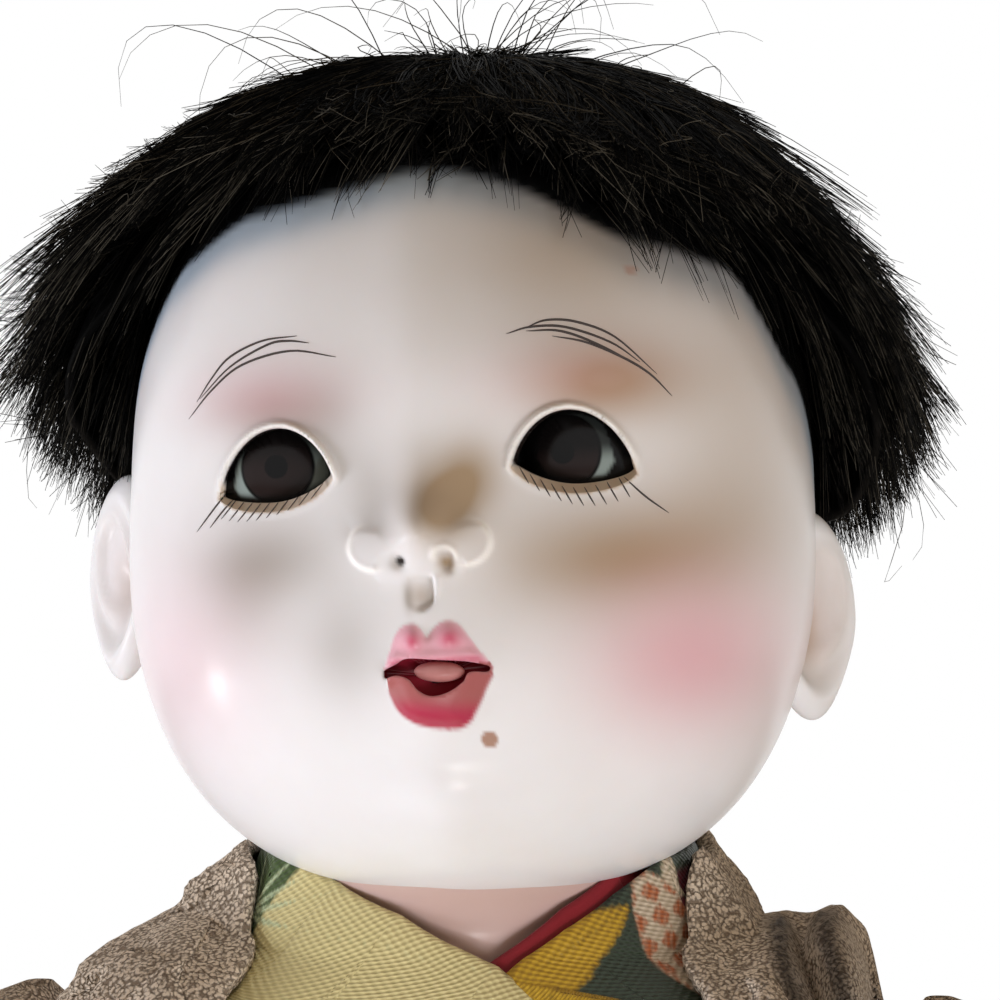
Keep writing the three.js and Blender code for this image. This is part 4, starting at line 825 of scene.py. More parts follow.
def ramp(tree, value, low, high, settings=None):
    """A share that is 0 where a socket's value is low and 1 where it is high."""
    step = {"From Min": low, "From Max": high, **(settings or {})}
    return add_node(tree, "ShaderNodeMapRange", step, {"Value": value}).outputs["Result"]


def grained(name, tint, pitch, detail=2.0, **sockets):
    """A material whose colour wanders to its second tone, with its tree and its shader."""
    material, tree, shader = new_material(name, **sockets)
    tone = blend_colour(tree, grain(tree, pitch, detail), colour(tint), second_tone(tint))
    tree.links.new(tone, shader.inputs["Base Color"])
    return material, tree, shader


def outward(longitude, latitude):
    """The way out of the head, from angles that start at the front."""
    level = np.cos(latitude)
    return np.stack((level * np.sin(longitude), -level * np.cos(longitude), np.sin(latitude)), -1)


def head_points(longitude, latitude):
    """Points on the bare head, about its middle, from angles that start at the front."""
    way = outward(longitude, latitude)
    across, deep, up = np.moveaxis(np.abs(way), -1, 0)
    depth = np.where(way[..., 1] < 0, HEAD_FRONT, HEAD_BACK)
    above = way[..., 2] > 0
    rise = np.where(above, SKULL_RISE, CHIN_DROP)
    power = np.where(above, SKULL_POWER, CHIN_POWER)
    level = (across / size("head_half_width")) ** LEVEL_POWER + (deep / depth) ** LEVEL_POWER
    reach = (level ** (power / LEVEL_POWER) + (up / rise) ** power) ** (-1 / power)
    return way * reach[..., None]


def brow_ease(x):
    """How far the visible face is eased back, so that no crease shows along its middle."""
    power = LEVEL_POWER
    gain = HEAD_FRONT / power / size("head_half_width") ** power
    return gain * ((x * x + EASE_WIDTH**2) ** (power / 2) - EASE_WIDTH**power - np.abs(x) ** power)


def face_depth(x, z):
    """How far the bare face stands before the head's middle."""
    rise = np.where(z > 0, SKULL_RISE, CHIN_DROP)
    power = np.where(z > 0, SKULL_POWER, CHIN_POWER)
    room = np.clip(1.0 - (np.abs(z) / rise) ** power, 0.0, None) ** (LEVEL_POWER / power)
    room = room - (np.abs(x) / size("head_half_width")) ** LEVEL_POWER
    return HEAD_FRONT * np.clip(room, 1e-6, None) ** (1 / LEVEL_POWER) - brow_ease(x)


def turned(across, up, angle):
    """Turns places of the face about its pivot."""
    rise = up - FACE_PIVOT
    aside = across * math.cos(angle) - rise * math.sin(angle)
    return aside, across * math.sin(angle) + rise * math.cos(angle) + FACE_PIVOT


def lean(u, w):
    """From the upright face to the leaning one."""
    return turned(u, w, FACE_LEAN)


def upright(x, z):
    """From the leaning face to the upright one."""
    return turned(x, z, -FACE_LEAN)


def wing_reach(u, w, side):
    """How far each place is from a nose wing's middle, 1 at its rim, and where the rim is soft."""
    out = side * (u - NOSE_MIDDLE) - WING_SPREAD
    out = out / np.where(out > 0, WING_HALF_WIDTH, 3.0 * WING_HALF_WIDTH)
    up = (w - WING_RISE) / WING_HALF_HEIGHT
    soft = np.maximum(smoothstep(0.8 * up - 0.6 * out, -0.1, 0.8), smoothstep(-out, -0.1, 0.15))
    return np.hypot(out, up), soft


def nose_relief(u, w):
    """The button nose: a soft ridge and tip, on a flat button whose wings have crisp rims."""
    tip_u, tip_w = NOSE_TIP
    nose = TIP_RISE * bell(u - tip_u, 3.0) * bell(w - tip_w, np.where(w > tip_w, 3.3, 2.6))
    nose = nose + BRIDGE_RISE * bell(u, 2.8) * bell(w + 1.0, 4.2)
    button = BUTTON_RISE * bell(u - NOSE_MIDDLE, 6.6) * bell(w + 6.6, 4.4)
    for side in (-1, 1):
        reach, soft = wing_reach(u, w, side)
        first, last = mix(0.86, 0.1, soft), mix(1.06, 2.2, soft)
        wing = button * fade((reach - first) / (last - first), 0.0, 1.0)
        wing = wing + 0.1 * bell(reach - 0.86, 0.12) * (1.0 - soft)
        soften = 0.3 + 1.2 * bell(u - NOSE_MIDDLE, 3.8)
        share = np.clip(0.5 + 0.5 * (wing - nose) / soften, 0.0, 1.0)
        nose = mix(nose, wing, share) + soften * share * (1.0 - share)
    (left_u, left_w), (right_u, right_w) = NOSTRILS
    nose = nose - 0.9 * bell(np.hypot(u - left_u, w - left_w), 0.6)
    hollow = bell(u - right_u, 0.62) * smoothstep(right_w + 0.55 - w, 0.0, 0.6)
    nose = nose - 1.3 * hollow * smoothstep(w, right_w - 2.0, right_w - 0.6)
    return nose + 0.35 * nostril_arch(u, w)


def nostril_arch(u, w):
    """The share of the raised arch over the left nostril."""
    right_u, right_w = NOSTRILS[1]
    arch = np.hypot(u - right_u, np.maximum(w - right_w, 0.0)) - 1.0
    return bell(arch, 0.28) * smoothstep(w - right_w, -0.7, 0.2)


def philtrum_relief(u, w):
    """The scoop under the nose: it falls away to a sharp ridge, and its foot is round."""
    foot = PHILTRUM_FOOT + 0.9 * ((u + 0.5) / 1.45) ** 2
    tall = smoothstep(w - foot, 0.0, 0.5) * smoothstep(PHILTRUM_TOP - w, 0.0, 0.6)
    share = (u + 2.0) / 2.8
    scoop = smoothstep(share, 0.0, 0.8) * fade(share, 0.88, 1.04)
    return tall * (0.35 * bell(u - 1.2, 0.33) - 1.15 * scoop)


def inside_lip(u, w, line, close):
    """How far each place lies inside a lip's edge, in millimetres, less than 0 outside it."""
    inside = np.full(u.shape, -5.0)
    near = (np.abs(u - 0.6) < 8.0) & (np.abs(w + 19.5) < 8.0)
    if near.any():
        edge = smooth_line(line, 160)
        gap, _ = outline_distance(u[near], w[near], edge)
        corners = ((line[-1][0], close), (line[0][0], close))
        within = inside_outline(u[near], w[near], np.vstack((edge, corners)))
        inside[near] = np.where(within, gap, -gap)
    return inside


def upper_lip(u, w):
    """How far each place lies inside the upper lip, in millimetres."""
    return inside_lip(u, w, UPPER_LIP_EDGE, UPPER_LIP_CLOSE)


def lower_lip(u, w):
    """How far each place lies inside the lower lip, in millimetres."""
    return inside_lip(u, w, LOWER_LIP_EDGE, LOWER_LIP_CLOSE)


def rounded(inside, reach):
    """A surface that rises from an edge and rounds off at a reach inside it."""
    return np.sin(0.5 * math.pi * np.clip(inside / reach, 0.0, 1.0))


def face_relief(u, w):
    """How far the modelled face stands before the bare one."""
    push = blots(u, w, FACE_TOUCHES, nose_relief(u, w) + philtrum_relief(u, w))
    lobes = blots(u, w, LIP_LOBES)
    band = 0.45 * bell(w + 17.3, 0.5)
    upper = rounded(upper_lip(u, w), 0.8)
    push = push + upper * (0.32 + lobes + band) * smoothstep(w, -19.2, -18.2)
    push = push + 1.6 * rounded(lower_lip(u, w), 2.2) * smoothstep(-18.4 - w, 0.0, 0.6)
    for side in (-1, 1):
        push = push + 1.0 * lid_rim(side * u - EYE_SPREAD, w - EYE_RISE, side)
    return push


def lid_outline(side, count=160):
    """The almond of an eye's opening, outward and up from its middle."""
    share = np.linspace(0.0, 1.0, count // 4, endpoint=False)
    arcs = (
        (LID_OUTER, (5.5, 1.0), (2.9, 4.1), LID_TOP),
        (LID_TOP, (-2.9, 4.1), (-5.0, 1.7), LID_INNER),
        (LID_INNER, (-4.7, -2.3), (-2.2, -3.6), LID_BOTTOM),
        (LID_BOTTOM, (3.2, -3.6), (5.2, -3.1), LID_OUTER),
    )
    outline = np.vstack([bezier(arc, share) for arc in arcs])
    outline[:, 0] *= np.where(outline[:, 0] > 0, LID_LENGTHS[side], 1.0)
    return outline


def outline_distance(across, up, outline):
    """Distance from each point to an outline, and the nearest of its points."""
    gap = np.hypot(across[:, None] - outline[None, :, 0], up[:, None] - outline[None, :, 1])
    nearest = gap.argmin(1)
    return gap[np.arange(len(gap)), nearest], nearest


def inside_outline(across, up, outline):
    """Whether each point lies inside a closed outline."""
    x1, z1 = outline.T
    x2, z2 = np.roll(outline, -1, axis=0).T
    between = (z1[None] > up[:, None]) != (z2[None] > up[:, None])
    slope = (x2 - x1) / np.where(np.abs(z2 - z1) < 1e-9, 1e-9, z2 - z1)
    return (between & (across[:, None] < x1 + (up[:, None] - z1) * slope)).sum(1) % 2 == 1


def lid_rim(out, up, side):
    """The share of the raised rim round an eye's opening, strongest above it."""
    rim = np.zeros_like(out)
    near = (np.abs(out) < 8.5) & (np.abs(up) < 7.0)
    if near.any():
        distance, _ = outline_distance(out[near], up[near], lid_outline(side))
        above = smoothstep(up[near], -2.2, 0.6)
        rim[near] = bell(distance - 0.3, 0.28) * mix(0.1, 1.0, above)
    return rim


def on_face(u, w, back=0.0):
    """A place on the modelled face, about the head's middle, or that far behind it."""
    x, z = lean(u, w)
    return np.stack((x, back - face_depth(x, z) - face_relief(u, w), z), -1)


def cut_opening(head, outline, rings, tag):
    """Opens the face along an outline and turns its edge inwards, ring by ring."""
    work = bmesh.new()
    work.from_mesh(head.data)
    layer = work.verts.layers.float.get("ring") or work.verts.layers.float.new("ring")
    work.verts.ensure_lookup_table()
    middles = np.array([face.calc_center_median() for face in work.faces]) / MM - HEAD_MIDDLE
    u, w = upright(middles[:, 0], middles[:, 2])
    low, high = outline.min(0) - 0.5, outline.max(0) + 0.5
    near = (middles[:, 1] < 0) & (u > low[0]) & (u < high[0]) & (w > low[1]) & (w < high[1])
    chosen = np.flatnonzero(near)
    chosen = chosen[inside_outline(u[chosen], w[chosen], outline)]
    work.faces.ensure_lookup_table()
    doomed = [work.faces[k] for k in chosen]
    rim = {edge for face in doomed for edge in face.edges}
    bmesh.ops.delete(work, geom=doomed, context="FACES")
    rim = [edge for edge in rim if edge.is_valid and edge.is_boundary]
    verts = list({vert for edge in rim for vert in edge.verts})
    places = np.array([vert.co for vert in verts]) / MM - HEAD_MIDDLE
    u, w = upright(places[:, 0], places[:, 2])
    _, nearest = outline_distance(u, w, outline)
    edge_u, edge_w = outline[nearest].T
    move_verts(verts, on_face(edge_u, edge_w))
    for vert in verts:
        vert[layer] = tag
    known = {vert: k for k, vert in enumerate(verts)}
    for step, ring in enumerate(rings):
        made = bmesh.ops.extrude_edge_only(work, edges=rim)["geom"]
        fresh = [item for item in made if isinstance(item, bmesh.types.BMVert)]
        rim = [item for item in made if isinstance(item, bmesh.types.BMEdge) and item.is_boundary]
        order = []
        for vert in fresh:
            olds = [edge.other_vert(vert) for edge in vert.link_edges]
            order.append(next(known[old] for old in olds if old in known))
        ring_u, ring_w, back = ring(edge_u[order], edge_w[order])
        move_verts(fresh, on_face(ring_u, ring_w, back))
        for vert in fresh:
            vert[layer] = tag + step + 1
        known = {vert: k for vert, k in zip(fresh, order)}
    work.to_mesh(head.data)
    work.free()


def move_verts(verts, places):
    """Moves vertices to places about the head's middle."""
    for vert, place in zip(verts, places):
        vert.co = Vector((place + HEAD_MIDDLE) * MM)


def ledge(out, up):
    """The share of the lower lid at places about an eye's middle, and how high its ledge stands."""
    below = smoothstep(-up, -0.6, 1.6)
    return below, LEDGE_HEIGHT * below * (1.0 - (np.abs(out) / LEDGE_HALF) ** 4)


def eye_rings(side):
    """How an eye's opening turns in: a thin upper lid, and a sloping ledge below."""

    def inward(share, back_above, back_below):
        def ring(u, w):
            out = side * u - EYE_SPREAD
            below, lift = ledge(out, w - EYE_RISE)
            shrink = mix(0.99, 0.95, below) if share else 1.0
            back = mix(back_above, back_below, below)
            return side * (EYE_SPREAD + out * shrink), w + share * lift, back

        return ring

    return (inward(0.0, 0.35, 0.12), inward(1.0, 0.8, 0.6), inward(1.0, 3.6, 3.6))


def mouth_rings():
    """How the mouth's opening turns in."""

    def inward(shrink, back):
        def ring(u, w):
            x, z = MOUTH_MIDDLE
            return x + (u - x) * shrink, z + (w - z) * shrink, back

        return ring

    return (inward(0.985, 0.4), inward(0.96, 1.3), inward(0.4, 2.1))


def paint_face(head):
    """Stores where the face is tinted, from the places of its vertices."""
    places = coordinates(head) / MM - HEAD_MIDDLE
    u, w = upright(places[:, 0], places[:, 2])
    front = smoothstep(-places[:, 1], 2.0, 12.0)
    ring = np.zeros(len(u))
    head.data.attributes["ring"].data.foreach_get("value", ring)
    surface = ring % TAG_STEP == 0
    lower = smoothstep(lower_lip(u, w), -0.26, 0.24) * (w < -18.2) * front * surface
    paint(head, "lower_lip", lower)
    paint(head, "worn_lip", 0.75 * lower * smoothstep(w + 0.12 * u, -22.8, -20.6))
    inside = upper_lip(u, w)
    upper = smoothstep(inside, -0.08, 0.2) * (w > -18.7) * front * surface
    paint(head, "upper_lip", 0.85 * upper)
    peaks = np.clip(0.95 * blots(u, w, LIP_PEAKS) + 0.7 * bell(w + 17.75, 0.4), 0, 0.95)
    paint(head, "lip_peak", peaks * upper * smoothstep(inside, 0.1, 0.6))
    paint(head, "blush", np.clip(blots(u, w, BLUSHES), 0, 1))
    # Painted highlight along the raised rims of the lids, the nose wings and a nostril's arch.
    rim_highlights = sum(lid_rim(side * u - EYE_SPREAD, w - EYE_RISE, side) for side in (-1, 1))
    for side in (-1, 1):
        reach, soft = wing_reach(u, w, side)
        rim_highlights = rim_highlights + 0.9 * bell(reach - 0.93, 0.1) * (1.0 - soft)
    rim_highlights = rim_highlights + 0.8 * nostril_arch(u, w)
    paint(head, "rim", np.clip(rim_highlights * front * surface, 0, 1))
    # Painted shade, brown and grey, from the tables of soft spots.
    for name, shade_rows in (("age", BROWN_SHADES), ("grey", GREY_SHADES)):
        paint(head, name, np.clip(blots(u, w, shade_rows) * front, 0, 0.9))
    bearing = np.degrees(np.arctan2(places[:, 0], -places[:, 1]))
    latitude = np.degrees(np.arctan2(places[:, 2], np.hypot(places[:, 0], places[:, 1])))
    ends, _ = hair_ends(bearing)
    above = latitude - ends
    paint(head, "cold", bell(np.minimum(above, 0.0), 5.0) * 0.95)
    paint(head, "scalp", smoothstep(above, 0.5, 3.5))
    is_eye = (ring >= EYE_TAGS[-1]) & (ring < MOUTH_TAG)
    below = smoothstep(EYE_RISE - w, 0.2, 1.2)
    depth = np.where(is_eye, ring % TAG_STEP, 0.0)
    paint(head, "ledge", np.where(is_eye, below * (depth <= 2), 0.0))
    # Ink liner in the eye openings, and painted shade in one nostril: its shallow dimple is painted black.
    (left_u, left_w), _ = NOSTRILS
    nostril_shade = smoothstep(0.55 - np.hypot(u - left_u, w - left_w), 0.0, 0.3) * front
    paint(head, "liner", np.where(is_eye, np.where(depth >= 2, 1.0 - below * (depth < 3), 0.0), nostril_shade))
    paint(head, "hole", np.where((ring >= MOUTH_TAG) & ~surface, 1.0, 0.0))
    chip = smoothstep(0.95 - np.hypot(u - 4.6, w + 25.4), 0.0, 0.35)
    chip = np.maximum(chip, 0.7 * smoothstep(0.55 - np.hypot((u - 19.8) / 1.3, w - 17.4), 0.0, 0.2))
    paint(head, "chip", chip * front)


def gofun_material():
    """Ground shell white, polished to a soft gloss, tinted by brush, with painted shade and painted
    highlights laid over it: it gives the pearly skin.
    """
    material, tree, shader = new_material(
        "gofun", Roughness=0.27, Specular_IOR_Level=0.5, Subsurface_Weight=0.12, Subsurface_Scale=0.002
    )
    shader.inputs["Subsurface Radius"].default_value = (1.0, 0.6, 0.45)
    tone = blend_colour(tree, grain(tree, 9.0), colour("gofun"), second_tone("gofun"))
    tints = (
        ("cold", "cold"),
        # Painted shade, brown and grey.
        ("age", "age"),
        ("grey", "grey"),
        ("blush", "blush"),
        ("upper_lip", "lip_pale"),
        ("lip_peak", "lip_peak"),
        ("lower_lip", "lip"),
        ("worn_lip", "worn_lip"),
        ("ledge", "ledge"),
        # Painted highlight on the rims.
        ("rim", "rim"),
        ("chip", "chip"),
        ("hole", "dark"),
        # Ink of the lid liners, and painted shade in a nostril.
        ("liner", "brush"),
        ("scalp", "hair"),
    )
    for mask, tint in tints:
        tone = blend_colour(tree, painted(tree, mask).outputs["Fac"], tone, colour(tint))
    tree.links.new(tone, shader.inputs["Base Color"])
    roughen(tree, shader, grain(tree, 2.5, 3.0), 0.02, 0.35)
    return material


def eye_middle(side):
    """The middle of an eyeball, about the head's middle."""
    x, z = lean(np.array(side * EYE_SPREAD), np.array(EYE_RISE))
    return np.array((x, EYE_INSET + EYE_RADIUS - face_depth(x, z), z), float)


class DOLL_OT_head(bpy.types.Operator):
    """Moulds the head, opens its eyes and mouth, and paints it"""

    bl_idname = "doll.head"
    bl_label = "Head"

    def execute(self, context):
        head = add_ball("gofun_head", HEAD_COLUMNS, HEAD_ROWS)
        ball = coordinates(head)
        longitude = np.arctan2(ball[:, 0], -ball[:, 1])
        latitude = np.arcsin(np.clip(ball[:, 2], -1.0, 1.0))
        longitude = crowded(longitude, -math.pi, math.pi, *COLUMN_CROWDING)
        latitude = crowded(latitude, -math.pi / 2, math.pi / 2, *ROW_CROWDING)
        places = head_points(longitude, latitude)
        places[:, 0] *= 1.0 - TEMPLE_NARROWING * smoothstep(places[:, 2], -18.0, 5.0)
        front = smoothstep(-places[:, 1], 4.0, 16.0)
        u, w = upright(places[:, 0], places[:, 2])
        places[:, 1] -= front * (face_relief(u, w) - brow_ease(places[:, 0]))
        set_coordinates(head, places + HEAD_MIDDLE)
        middle = np.array((EYE_SPREAD, EYE_RISE))
        for side, tag in EYE_TAGS.items():
            outline = (lid_outline(side) + middle) * (side, 1)
            cut_opening(head, outline, eye_rings(side), tag)
        mouth = smooth_line(MOUTH_OUTLINE + MOUTH_OUTLINE[:1], 160)[:-1]
        cut_opening(head, mouth, mouth_rings(), MOUTH_TAG)
        paint_face(head)
        gofun = gofun_material()
        dress(head, gofun, "head", "gofun", "face_half", "skull_half")
        for piece in (self.neck(), self.ear(-1), self.ear(1)):
            dress(piece, gofun, "head", "gofun")
        tongue = add_ball("tongue_tip", *TONGUE_GRID)
        u, w = (np.array([value]) for value in TONGUE_PLACE)
        place = on_face(u, w, TONGUE_INSET)[0]
        set_coordinates(tongue, coordinates(tongue) * TONGUE_HALVES + place + HEAD_MIDDLE)
        flesh, _, _ = grained("tongue_paint", "tongue", 1.5, Roughness=0.3)
        dress(tongue, flesh, "head", "tongue", "tongue")
        return {"FINISHED"}

    def neck(self):
        """The short thick neck, flared under the chin."""

        def place(u, v):
            height = mix(NECK_ROWS[0][0], NECK_ROWS[-1][0], v)
            half_width, half_depth = stations(height, NECK_ROWS)
            angle = 2 * math.pi * u
            swell = 0.4 * smoothstep(-np.cos(angle), 0.0, 1.0) * bell(height + 50.0, 6.0)
            y = HEAD_BEFORE_NECK * smoothstep(-height, 38.0, 47.0) + (half_depth + swell) * np.cos(angle)
            return np.stack((half_width * np.sin(angle), y, height), -1) + HEAD_MIDDLE

        piece, _, _ = add_grid("neck_skin", *NECK_GRID, place, closed=True)
        # The whole neck is darkened brown and pink, as painted shade under the chin.
        paint(piece, "age", np.full(len(piece.data.vertices), NECK_BROWN_SHADE))
        paint(piece, "blush", np.full(len(piece.data.vertices), NECK_PINK_SHADE))
        return piece

    def ear(self, side):
        """A round ear with a rolled rim, standing a little off the head."""
        piece = add_ball(f"{'left' if side > 0 else 'right'}_ear", *EAR_GRID)
        ball = coordinates(piece)
        a, b, c = ball[:, 0], ball[:, 2], ball[:, 1]
        reach = np.hypot(a, b)
        hollow = fade(reach, 0.55, 0.84)
        fold = bell(np.hypot(a - 0.1, b - 0.1) - 0.5, 0.1) * smoothstep(b + 0.6 * a, -0.5, 0.1)
        pit = bell(np.hypot((a + 0.15) / 0.9, b + 0.1), 0.3)
        open_face = np.where(c < 0, 1.0 - 0.7 * hollow + 0.35 * fold - 0.5 * pit, 1.0)
        wide = a * EAR_HALF_WIDTH * mix(1.0, 0.74, smoothstep(-b, 0.1, 1.0))
        deep = c * EAR_HALF_DEPTH * open_face
        tall = b * EAR_HALF_HEIGHT
        turn = wide * math.cos(EAR_TILT) - tall * math.sin(EAR_TILT)
        rise = wide * math.sin(EAR_TILT) + tall * math.cos(EAR_TILT)
        out = np.array((side * math.sin(EAR_FLARE), math.cos(EAR_FLARE), 0.0))
        face = np.array((side * math.cos(EAR_FLARE), -math.sin(EAR_FLARE), 0.0))
        spread = np.outer(turn, out) - np.outer(deep, face) + np.outer(rise, (0.0, 0.0, 1.0))
        place = np.array((EAR_OUT[side], EAR_BACK, EAR_RISE[side]))
        set_coordinates(piece, spread + place + HEAD_MIDDLE)
        face_out(piece, join=True)
        paint(piece, "blush", 0.08 * fade(reach, 0.2, 0.8))
        # Painted shade in the ear's hollow and pit.
        paint(piece, "age", EAR_HOLLOW_SHADE[side] * np.clip(0.25 * hollow + 0.8 * pit, 0.0, 1.0))
        return piece


class DOLL_OT_eyes(bpy.types.Operator):
    """Sets the glass eyes, and draws the brows and lashes"""

    bl_idname = "doll.eyes"
    bl_label = "Eyes and brows"

    def execute(self, context):
        glass = self.glass()
        for side, name in SIDES:
            eye = add_ball(f"{name}_eyeball", *EYE_GRID)
            middle = eye_middle(side)
            ball = coordinates(eye) * EYE_RADIUS
            set_coordinates(eye, ball + middle + HEAD_MIDDLE)
            x, z = lean(*(np.array(value) for value in IRIS_PLACES[side]))
            x, z = x - middle[0], z - middle[2]
            ahead = np.array((x, -math.sqrt(EYE_RADIUS**2 - x**2 - z**2), z)) / EYE_RADIUS
            across = np.cross((0.0, 0.0, 1.0), -ahead)
            across = across / np.linalg.norm(across)
            above = np.cross(across, ahead)
            paint(eye, "gaze", np.stack((ball @ across, ball @ above, ball @ ahead), -1))
            paint(eye, "lid", self.lid_shade(ball + middle, side))
            dress(eye, glass, "head", "eye_glass", f"{name}_eye_glass", f"{name}_eye_core")
        self.strokes()
        return {"FINISHED"}

    def lid_shade(self, places, side):
        """Where the ball is dark along the lids, as painted liner and shade: a thin line, thick at the
        upper corners, and the upper lid's painted shadow.
        """
        u, w = upright(places[:, 0], places[:, 2])
        out, up = side * u - EYE_SPREAD, w - EYE_RISE
        edge = lid_outline(side)
        _, lift = ledge(*edge.T)
        edge[:, 1] += lift
        distance, _ = outline_distance(out, up, edge)
        corner = 1.5 * smoothstep(np.abs(out), *WEDGES[side])
        line = fade(distance - corner - 0.22, 0.0, 0.7)
        line = np.maximum(line, 0.92 * smoothstep(up, *LID_SHADOW[side]))
        return np.where(places[:, 1] < 0, line, 0.0)

    def glass(self):
        """Painted glass: a clear polish over a near-black iris and a grey green white."""
        material, tree, shader = new_material("eye_glass", Roughness=0.22, Specular_IOR_Level=0.18)
        gaze = painted(tree, "gaze").outputs["Vector"]
        parts = add_node(tree, "ShaderNodeSeparateXYZ", links={0: gaze})
        flat = add_node(tree, "ShaderNodeCombineXYZ", links={0: parts.outputs[0], 1: parts.outputs[1]})
        reach = add_node(tree, "ShaderNodeVectorMath", {"operation": "LENGTH"}, {0: flat.outputs[0]})
        iris = size("iris_radius")
        edges = ((1.0, 1.25), (iris - 0.25, iris), (iris + 0.02, iris + 0.3))
        eased = {"interpolation_type": "SMOOTHSTEP"}
        shares = [ramp(tree, reach.outputs["Value"], low, high, eased) for low, high in edges]
        tone = blend_colour(tree, shares[0], linear(PUPIL_TONE), colour("iris"))
        tone = blend_colour(tree, shares[1], tone, linear(IRIS_RING_TONE))
        tone = blend_colour(tree, shares[2], tone, colour("sclera"))
        # Painted liner and shade along the lids, with the upper lid's painted shadow.
        tone = blend_colour(tree, painted(tree, "lid").outputs["Fac"], tone, linear(LID_LINER_AND_SHADE_TONE))
        tree.links.new(tone, shader.inputs["Base Color"])
        return material

    def strokes(self):
        """Lays each brush stroke on the face, where the camera sees its points."""
        ink, _, _ = grained("brush_ink", "brush", 1.2, Roughness=0.5)
        brows = [(line, BROW_WEIGHT) for line in BROW_STROKES]
        lashes = [(line, LONG_LASH_WEIGHT) for line in LONG_LASHES]
        for k in range(LASHES_IN_ROW):
            share = (k + 0.5) / LASHES_IN_ROW
            for lid, first, last, middle, tip in SHORT_LASHES:
                start = bezier(lid, [share])[0]
                long = mix(first, last, share)
                line = (start, start + np.array(middle) * long, start + np.array(tip) * long)
                lashes.append((line, SHORT_LASH_WEIGHT))
        head = bpy.data.objects["gofun_head"]
        for name, lines in (("brow_strokes", brows), ("lash_strokes", lashes)):
            points, faces = [], []
            for line, weight in lines:
                path = smooth_line(line, STROKE_POINTS)
                self.stroke(head, path, weight * size("brush_width"), points, faces)
            piece = add_mesh(name, np.array(points), faces)
            dress(piece, ink, "head", "gofun")

    def stroke(self, head, line, width, points, faces):
        """A thin tapered stroke lying on the head."""
        eye, right, ahead = camera_axes()
        hits = []
        for x, y in line:
            way = ahead * FOCAL_PIXELS + right * (x - PICTURE_SIDE / 2)
            way = Vector(way - np.array((0, 0, 1.0)) * (y - PICTURE_SIDE / 2)).normalized()
            found, place, normal, _ = head.ray_cast(Vector(eye * MM), way)
            if not found:
                raise RuntimeError(f"the stroke point {x:.0f}, {y:.0f} misses the head")
            hits.append((np.array(place) / MM, np.array(normal)))
        first = len(points)
        for k, (place, normal) in enumerate(hits):
            before, after = hits[max(k - 1, 0)][0], hits[min(k + 1, len(hits) - 1)][0]
            along = after - before
            across = np.cross(along / max(np.linalg.norm(along), 1e-9), normal)
            share = k / (len(hits) - 1)
            half = 0.5 * width * (0.16 + 0.84 * math.sin(math.pi * min(max(share, 0.0), 1.0)) ** 0.6)
            for sideways, out in ((-half, 0.02), (0.0, 0.05), (half, 0.02), (0.0, -0.05)):
                points.append(place + across * sideways + normal * out)
        for k in range(len(hits) - 1):
            a = first + 4 * k
            for j in range(4):
                faces.append((a + j, a + (j + 1) % 4, a + 4 + (j + 1) % 4, a + 4 + j))
        faces.append((first + 3, first + 2, first + 1, first))
        last = first + 4 * (len(hits) - 1)
        faces.append((last, last + 1, last + 2, last + 3))


def camera_axes():
    """The camera's place, and its directions to the right and ahead, in millimetres."""
    ahead = np.array((-math.sin(CAMERA_AZIMUTH), math.cos(CAMERA_AZIMUTH), 0.0))
    right = np.array((math.cos(CAMERA_AZIMUTH), math.sin(CAMERA_AZIMUTH), 0.0))
    return CAMERA_TARGET - ahead * size("camera_distance"), right, ahead


def hair_ends(bearing):
    """The latitude of the hair's ends and its thickness there: its left hangs lower, and is thinner."""
    end, thick = stations(np.abs(bearing), HAIR_ENDS)
    thin = SIDE_THINNING * smoothstep(bearing, 50.0, 75.0) * fade(bearing, 120.0, 160.0)
    return end - FRINGE_DROP * bell(bearing - 36.0, 15.0), thick - thin


def hair_place(bearing, along, out):
    """A place in the hair: degrees from the front, share from crown to end, share from scalp to surface."""
    end, thick = hair_ends(bearing)
    latitude = mix(90.0, end + HAIR_SLANT * out * np.clip(along, 0, 1) ** 3, along)
    stand = mix(HAIR_CROWN, thick, np.clip(along, 0.0, 1.1) ** 1.3) * out
    angles = np.radians(bearing), np.radians(latitude)
    return head_points(*angles) + outward(*angles) * stand[..., None] + HEAD_MIDDLE


def strands(paths, widths):
    """Three-sided tapered hairs along paths of shape (hairs, points, 3): the vertices and faces."""
    count, steps, _ = paths.shape
    along = unit(np.gradient(paths, axis=1))
    up = np.where(np.abs(along[..., 2:]) > 0.9, (1.0, 0.0, 0.0), (0.0, 0.0, 1.0))
    first = unit(np.cross(along, up))
    second = np.cross(along, first)
    taper = np.linspace(1.0, 0.25, steps)[None, :, None] * widths[:, None, None] / 2
    corners = []
    for k in range(3):
        angle = 2 * math.pi * k / 3
        corners.append(paths + taper * (math.cos(angle) * first + math.sin(angle) * second))
    points = np.stack(corners, 2).reshape(-1, 3)
    base = (np.arange(count) * steps * 3)[:, None, None, None]
    ring = (np.arange(steps - 1) * 3)[None, :, None, None]
    side = np.array([(k, (k + 1) % 3, (k + 1) % 3 + 3, k + 3) for k in range(3)])[None, None]
    quads = (base + ring + side).reshape(-1, 4)
    start = base[:, 0, 0] + np.array((2, 1, 0))[None]
    end = base[:, 0, 0] + 3 * (steps - 1) + np.array((0, 1, 2))[None]
    return points, quads.tolist() + start.tolist() + end.tolist()


def hair_material():
    """Black hair with a dull sheen; each hair has its own depth of tone, and the lightest hairs are partly
    painted glints.
    """
    material, tree, shader = new_material("hair", Roughness=0.5, Specular_IOR_Level=0.035)
    tone = blend_colour(tree, painted(tree, "tone").outputs["Fac"], colour("hair"), second_tone("hair"))
    tree.links.new(tone, shader.inputs["Base Color"])
    return material


